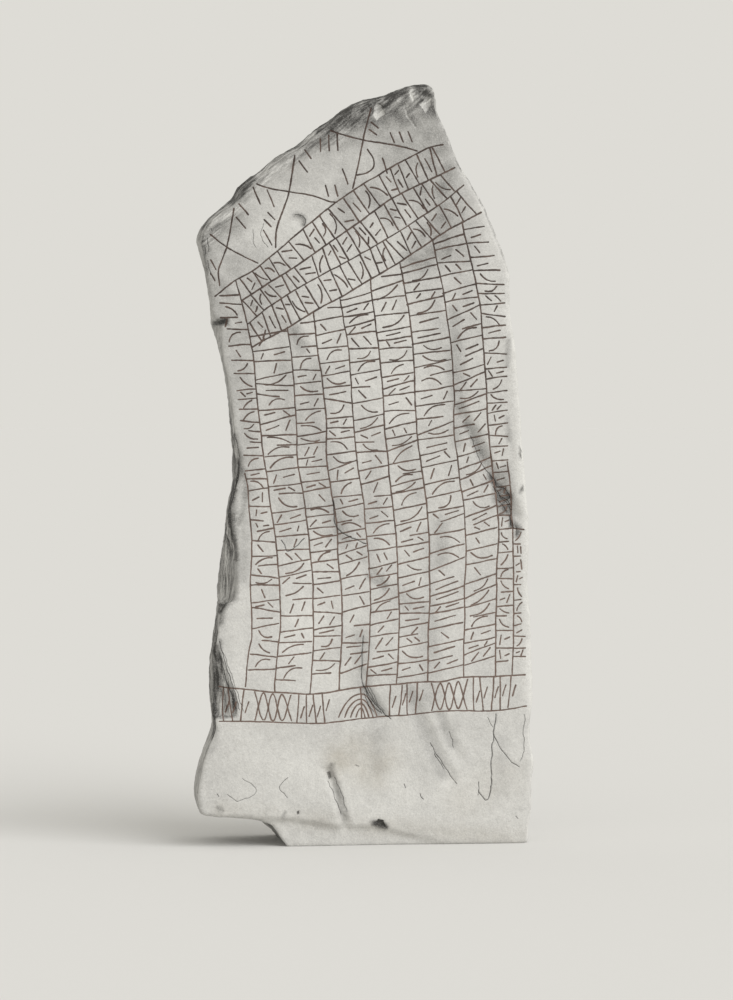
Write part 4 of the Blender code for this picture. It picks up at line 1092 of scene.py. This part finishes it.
# ---- The fine slab ----
ON_GROUND = 0.0005  # what lies lower than this stays on the ground
UV_NAME = "OFBake"
UV_SCALE = 0.397  # of the front and the back in the baked picture, per metre
UV_FRONT_LEFT = 0.02
UV_BACK_LEFT = 0.475
UV_SIDES_LEFT = 0.935
UV_SIDES_WIDTH = 0.055
UV_SIDES_HEIGHT = 0.992
UV_BOTTOM = 0.003


def fine_parts():
    """Points and faces of the fine slab, in the frame of the outlines.

    Also how many faces the front and the sides have, the rows of points across the sides, and
    how far into a stroke and into a crack each point of the front lies.
    """
    rings = outline_rings()
    stroke_outline = rings[0][:, [0, 2]]
    roughen_sides(rings)
    rings = refine_rings(rings)
    grid = []
    for inner, outer, strips in zip(rings[:-1], rings[1:], ROUNDS_ACROSS):
        grid += between(inner, outer, strips)
    grid = np.array(grid + [rings[-1]])
    flat_foot = grid[..., 2] < ON_GROUND
    grid = rounded(grid)
    grid[..., 2] = np.where(flat_foot, 0.0, np.maximum(grid[..., 2], 0.0))
    outline = grid[0][:, [0, 2]]
    grid[0][:, 1] = front_y(outline) + FRONT_ROLL

    flat, faces, rim, painted, cracked = front_sheet(outline, stroke_outline)
    y = front_y(flat) + STROKE_DEPTH * painted ** 0.8 + CRACK_DEPTH * cracked + chip_values(flat)[0]
    y[rim] = grid[0][:, 1]
    points = [np.column_stack([flat[:, 0], y, flat[:, 1]]), *grid[1:]]
    front_faces = len(faces)
    count = grid.shape[1]
    numbers = len(flat) + np.arange((len(grid) - 1) * count)
    rows = [rim, *numbers.reshape(-1, count).tolist()]
    for inner, outer in zip(rows[:-1], rows[1:]):
        for i in range(count):
            j = (i + 1) % count
            faces.append((inner[i], inner[j], outer[j], outer[i]))
    side_faces = len(faces) - front_faces

    outline = grid[-1][:, [0, 2]]
    first = len(flat) + len(numbers)
    flat, back_faces, back_rim = triangulate(outline, spread_points(outline, FINE_BACK_GRID))
    known = dict(zip(back_rim, rows[-1]))
    inner = [index for index in range(len(flat)) if index not in known]
    known.update({index: first + i for i, index in enumerate(inner)})
    points.append(np.column_stack([flat[inner][:, 0], back_y(flat[inner]), flat[inner][:, 1]]))
    faces += [tuple(known[i] for i in reversed(face)) for face in back_faces]
    return np.vstack(points), faces, (front_faces, side_faces), rows, (painted, cracked)


def add_uvs(mesh, points, counts, rows):
    """The front and the back side by side and the sides as a strip, for a baked picture."""
    front_faces, side_faces = counts
    place = {vertex: (number, i) for number, row in enumerate(rows) for i, vertex in enumerate(row)}
    count = len(rows[0])
    across = UV_SIDES_WIDTH / (len(rows) - 1)
    left = points[:, 0].min()
    right = points[:, 0].max()
    uvs = np.zeros((len(mesh.loops), 2))
    for face in mesh.polygons:
        for loop in face.loop_indices:
            vertex = mesh.loops[loop].vertex_index
            x, _, z = points[vertex]
            if face.index < front_faces:
                uvs[loop] = (UV_FRONT_LEFT + (x - left) * UV_SCALE, UV_BOTTOM + z * UV_SCALE)
            elif face.index >= front_faces + side_faces:
                uvs[loop] = (UV_BACK_LEFT + (right - x) * UV_SCALE, UV_BOTTOM + z * UV_SCALE)
            else:
                number, i = place[vertex]
                if i == 0 and (face.index - front_faces) % count == count - 1:
                    i = count
                along = UV_BOTTOM + UV_SIDES_HEIGHT * i / count
                uvs[loop] = (UV_SIDES_LEFT + number * across, along)
    mesh.uv_layers.new(name=UV_NAME).data.foreach_set("uv", uvs.ravel())


def stone_mesh(low, high):
    """The fine slab, weathered and set between two corners, with the values its material reads."""
    points, faces, counts, rows, (painted, cracked) = fine_parts()
    mesh = bpy.data.meshes.new("carved_stone")
    mesh.from_pydata(points.tolist(), [], faces)
    normals = np.zeros(len(points) * 3)
    mesh.vertices.foreach_get("normal", normals)
    normals = normals.reshape(-1, 3)
    on_front = np.arange(len(points)) < len(painted)
    moved = weathered(points, normals, on_front, points[:, 2] < ON_GROUND)
    span = moved.max(axis=0) - moved.min(axis=0)
    moved = low + (moved - moved.min(axis=0)) * ((high - low) / span)
    mesh.vertices.foreach_set("co", moved.ravel())
    values = {"shade": darkness(points, normals, on_front),
              "stain": patches(points[:, [0, 2]], STAINS) * on_front,
              "broken_side": broken_side(points, normals, on_front),
              "broken_top": broken_top(points, normals, on_front),
              "paint": painted,
              "crack": cracked}
    for name, column in values.items():
        column = np.pad(column, (0, len(points) - len(column)))
        mesh.attributes.new(name, "FLOAT", "POINT").data.foreach_set("value", column)
    add_uvs(mesh, points, counts, rows)
    mesh.update()
    mesh.shade_smooth()
    return mesh


# ---- Granite ----
def srgb(r, g, b):
    """A colour given in 0-255 as linear values."""
    shares = (r / 255, g / 255, b / 255)
    return (*(v / 12.92 if v <= 0.04045 else ((v + 0.055) / 1.055) ** 2.4 for v in shares), 1.0)


TONES = ((0.00, srgb(211, 210, 206)), (0.25, srgb(180, 179, 176)), (0.50, srgb(147, 146, 143)),
         (0.75, srgb(110, 109, 107)), (1.00, srgb(64, 63, 61)))
MICA = srgb(104, 103, 100)
FELDSPAR = srgb(218, 216, 212)
STAIN = srgb(206, 196, 178)
PAINT = srgb(64, 52, 47)
OLD_PAINT = srgb(114, 96, 87)
LEAST_WORN = 1.95  # the paint is darkest from this height up, and most worn low down
MOST_WORN = 0.60
# The dark of the cracks and scratches: painted shade in their cuts.
CRACK_SHADE = srgb(70, 68, 66)
SIDE_LEAN = 5.0  # how far the ridges lean from upright, in degrees
TOP_LEAN = 52.0
ROUGHNESS = 0.85
SHEEN = 0.25


class Nodes:
    """Short ways to add and join the nodes of one material."""

    def __init__(self, material):
        material.use_nodes = True
        self.tree = material.node_tree
        self.shader = self.tree.nodes["Principled BSDF"]

    def add(self, kind, **inputs):
        node = self.tree.nodes.new(kind)
        for name, value in inputs.items():
            self.feed(node.inputs[name.replace("_", " ")], value)
        return node

    def feed(self, socket, value):
        if isinstance(value, bpy.types.NodeSocket):
            self.tree.links.new(value, socket)
        else:
            socket.default_value = value

    def feed_all(self, node, values):
        for index, value in values.items():
            self.feed(node.inputs[index], value)

    def math(self, operation, a, b=0.0, clamp=False):
        node = self.tree.nodes.new("ShaderNodeMath")
        node.operation = operation
        node.use_clamp = clamp
        self.feed_all(node, {0: a, 1: b})
        return node.outputs[0]

    def times(self, a, b):
        return self.math("MULTIPLY", a, b)

    def total(self, first, *others):
        for other in others:
            first = self.math("ADD", first, other)
        return first

    def ramp(self, value, low, high, out_low=0.0, out_high=1.0):
        node = self.tree.nodes.new("ShaderNodeMapRange")
        node.interpolation_type = "SMOOTHSTEP"
        self.feed_all(node, {0: value, 1: low, 2: high, 3: out_low, 4: out_high})
        return node.outputs[0]

    def mix(self, share, a, b, blend="MIX"):
        node = self.tree.nodes.new("ShaderNodeMix")
        node.data_type = "RGBA"
        node.blend_type = blend
        self.feed_all(node, {0: share, 6: a, 7: b})
        return node.outputs[2]

    def attribute(self, name):
        node = self.tree.nodes.new("ShaderNodeAttribute")
        node.attribute_name = name
        return node.outputs["Fac"]

    def noise(self, where, scale, detail=3.0, roughness=0.55):
        return self.add("ShaderNodeTexNoise", Vector=where, Scale=scale, Detail=detail,
                        Roughness=roughness).outputs["Fac"]

    def speckle(self, where, scale):
        return self.add("ShaderNodeTexVoronoi", Vector=where, Scale=scale).outputs["Distance"]

    def ridges(self, where, lean):
        """Dark and light ridges that lean this many degrees from upright, seen from the front: painted
        shade and painted light of a ridged break.
        """
        turned = self.add("ShaderNodeMapping", Vector=where)
        turned.inputs["Rotation"].default_value = (0.0, -math.radians(lean), 0.0)
        drawn_out = self.add("ShaderNodeMapping", Vector=turned.outputs["Vector"])
        drawn_out.inputs["Scale"].default_value = (1.0, 1.0, 0.14)
        coarse = self.noise(drawn_out.outputs["Vector"], 34.0, 3.0, 0.6)
        fine = self.noise(drawn_out.outputs["Vector"], 120.0, 3.0, 0.6)
        return self.total(self.ramp(coarse, 0.34, 0.64, -0.28, 0.30),
                          self.ramp(fine, 0.32, 0.68, -0.24, 0.26))

    def tones(self, value, stops):
        node = self.add("ShaderNodeValToRGB", Fac=value)
        ramp = node.color_ramp
        for place, _ in stops[1:-1]:
            ramp.elements.new(place)
        for element, (place, colour) in zip(ramp.elements, stops):
            element.position = place
            element.color = colour
        return node.outputs["Color"]


def granite():
    """Pale granite: patches, crystals, mica specks, stains, dark patches, worn red strokes, and painted
    shade and light from the shade attribute, the ridges and the cracks.
    """
    material = bpy.data.materials.new("weathered_granite")
    make = Nodes(material)
    where = make.add("ShaderNodeTexCoord").outputs["Object"]
    shade = make.attribute("shade")
    patchy = make.noise(where, 9.0, 4.0)
    crystals = make.noise(where, 150.0, 2.0, 0.7)
    grain = make.ramp(make.noise(where, 360.0, 2.0, 0.6), 0.25, 0.75, -0.5, 0.5)
    # The ridges darken the grooves and lighten the crests that the bump below carves from the same values:
    # painted shade and painted light.
    ridges = make.total(make.times(make.ridges(where, SIDE_LEAN), make.attribute("broken_side")),
                        make.times(make.ridges(where, TOP_LEAN), make.attribute("broken_top")))
    dark = make.total(shade,
                      make.ramp(patchy, 0.3, 0.7, -0.025, 0.025),
                      make.ramp(crystals, 0.25, 0.75, -0.05, 0.05),
                      make.times(grain, make.ramp(shade, 0.1, 0.8, 0.12, 0.40)),
                      ridges)
    colour = make.tones(make.math("MAXIMUM", dark, 0.0, clamp=True), TONES)
    mica = make.ramp(make.speckle(where, 230.0), 0.08, 0.20, 1.0, 0.0)
    colour = make.mix(make.times(mica, 0.22), colour, MICA)
    white = make.ramp(make.speckle(where, 120.0), 0.12, 0.30, 1.0, 0.0)
    colour = make.mix(make.times(white, 0.20), colour, FELDSPAR)
    stain = make.times(make.attribute("stain"), make.ramp(patchy, 0.3, 0.7, 0.3, 1.0))
    colour = make.mix(stain, colour, STAIN, "MULTIPLY")

    worn = make.ramp(make.noise(where, 60.0, 3.0), 0.35, 0.65, -0.14, 0.16)
    paint = make.ramp(make.total(make.attribute("paint"), worn), 0.12, 0.40)
    height = make.add("ShaderNodeSeparateXYZ", Vector=where).outputs["Z"]
    faded = make.total(make.ramp(height, MOST_WORN, LEAST_WORN, 0.75, 0.0),
                       make.ramp(make.noise(where, 25.0, 3.0), 0.38, 0.66, 0.0, 0.5))
    red = make.mix(make.math("MINIMUM", faded, 1.0), PAINT, OLD_PAINT)
    colour = make.mix(make.times(paint, 0.95), colour, red)
    # Cracks and scratches are darkened along their cuts: painted shade.
    crack = make.ramp(make.total(make.attribute("crack"), worn), 0.30, 0.75)
    colour = make.mix(make.times(crack, 0.80), colour, CRACK_SHADE)

    relief = make.total(make.times(crystals, 0.6), make.times(make.noise(where, 60.0, 5.0), 1.2))
    relief = make.math("SUBTRACT", relief, make.times(ridges, 2.0))
    bump = make.add("ShaderNodeBump", Strength=0.55, Distance=0.004, Height=relief)
    make.feed(make.shader.inputs["Base Color"], colour)
    make.feed(make.shader.inputs["Normal"], bump.outputs["Normal"])
    make.shader.inputs["Roughness"].default_value = ROUGHNESS
    make.shader.inputs["Specular IOR Level"].default_value = SHEEN
    return material


# ---- The scene ----
CAMERA_AZIMUTH = -8.0
CAMERA_ELEVATION = 1.5
CAMERA_AWAY = 14.0
CAMERA_AIM = (0.0248, -0.0024, 1.1325)
VIEW_HEIGHT = 3.330  # metres of the picture's height at the stone
SENSOR = 36.0  # millimetres
FAR_END = 400.0  # of what the camera sees
ROOM_TONE = (222, 220, 214)  # of the world and of the lit floor, in 0-255
KEY_AZIMUTH = 38.0
KEY_ELEVATION = 34.0
KEY_SPREAD = 55.0  # how wide the key light is seen from the stone, in degrees
KEY_STRENGTH = 0.34  # what it adds to a white floor
FLOOR_REACH = 150.0


def away(azimuth, elevation):
    """The direction away from the object at an azimuth and an elevation; azimuth 0 is the front."""
    turn = math.radians(azimuth)
    rise = math.radians(elevation)
    return Vector((math.sin(turn) * math.cos(rise), -math.cos(turn) * math.cos(rise), math.sin(rise)))


def placed(name, data):
    """A new object in the scene."""
    thing = bpy.data.objects.new(name, data)
    bpy.context.scene.collection.objects.link(thing)
    return thing


def add_camera():
    data = bpy.data.cameras.new("camera")
    camera = placed("camera", data)
    data.sensor_width = SENSOR
    data.lens = SENSOR * CAMERA_AWAY / VIEW_HEIGHT
    data.clip_end = FAR_END
    back = away(CAMERA_AZIMUTH, CAMERA_ELEVATION)
    camera.location = Vector(CAMERA_AIM) + back * CAMERA_AWAY
    camera.rotation_euler = back.to_track_quat("Z", "Y").to_euler()
    bpy.context.scene.camera = camera


def add_key():
    """A wide soft light, as from a large panel far away."""
    data = bpy.data.lights.new("key", "SUN")
    data.angle = math.radians(KEY_SPREAD)
    data.energy = KEY_STRENGTH * math.pi / math.sin(math.radians(KEY_ELEVATION))
    light = placed("key", data)
    light.rotation_euler = away(KEY_AZIMUTH, KEY_ELEVATION).to_track_quat("Z", "Y").to_euler()


def add_floor():
    """A wide pale floor that the key light and the room bring to the tone of the room behind it."""
    bpy.ops.mesh.primitive_circle_add(vertices=96, radius=FLOOR_REACH, fill_type="NGON")
    floor = bpy.context.object
    floor.name = "floor"
    material = bpy.data.materials.new("pale_floor")
    material.use_nodes = True
    shader = material.node_tree.nodes["Principled BSDF"]
    tone = [value / (value + KEY_STRENGTH) for value in srgb(*ROOM_TONE)[:3]]
    shader.inputs["Base Color"].default_value = (*tone, 1.0)
    shader.inputs["Roughness"].default_value = 1.0
    shader.inputs["Specular IOR Level"].default_value = 0.0
    floor.data.materials.append(material)


def add_world():
    world = bpy.data.worlds.new("studio")
    bpy.context.scene.world = world
    world.use_nodes = True
    background = world.node_tree.nodes["Background"]
    background.inputs["Color"].default_value = srgb(*ROOM_TONE)
    background.inputs["Strength"].default_value = 1.0


def main():
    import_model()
    low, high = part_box("rune_stone")
    stone = placed("carved_stone", stone_mesh(np.array(low), np.array(high)))
    stone.data.materials.append(granite())
    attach(stone, "root")
    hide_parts("rune_stone")

    bpy.context.scene.view_settings.view_transform = "Standard"
    add_camera()
    add_floor()
    add_world()
    add_key()


main()
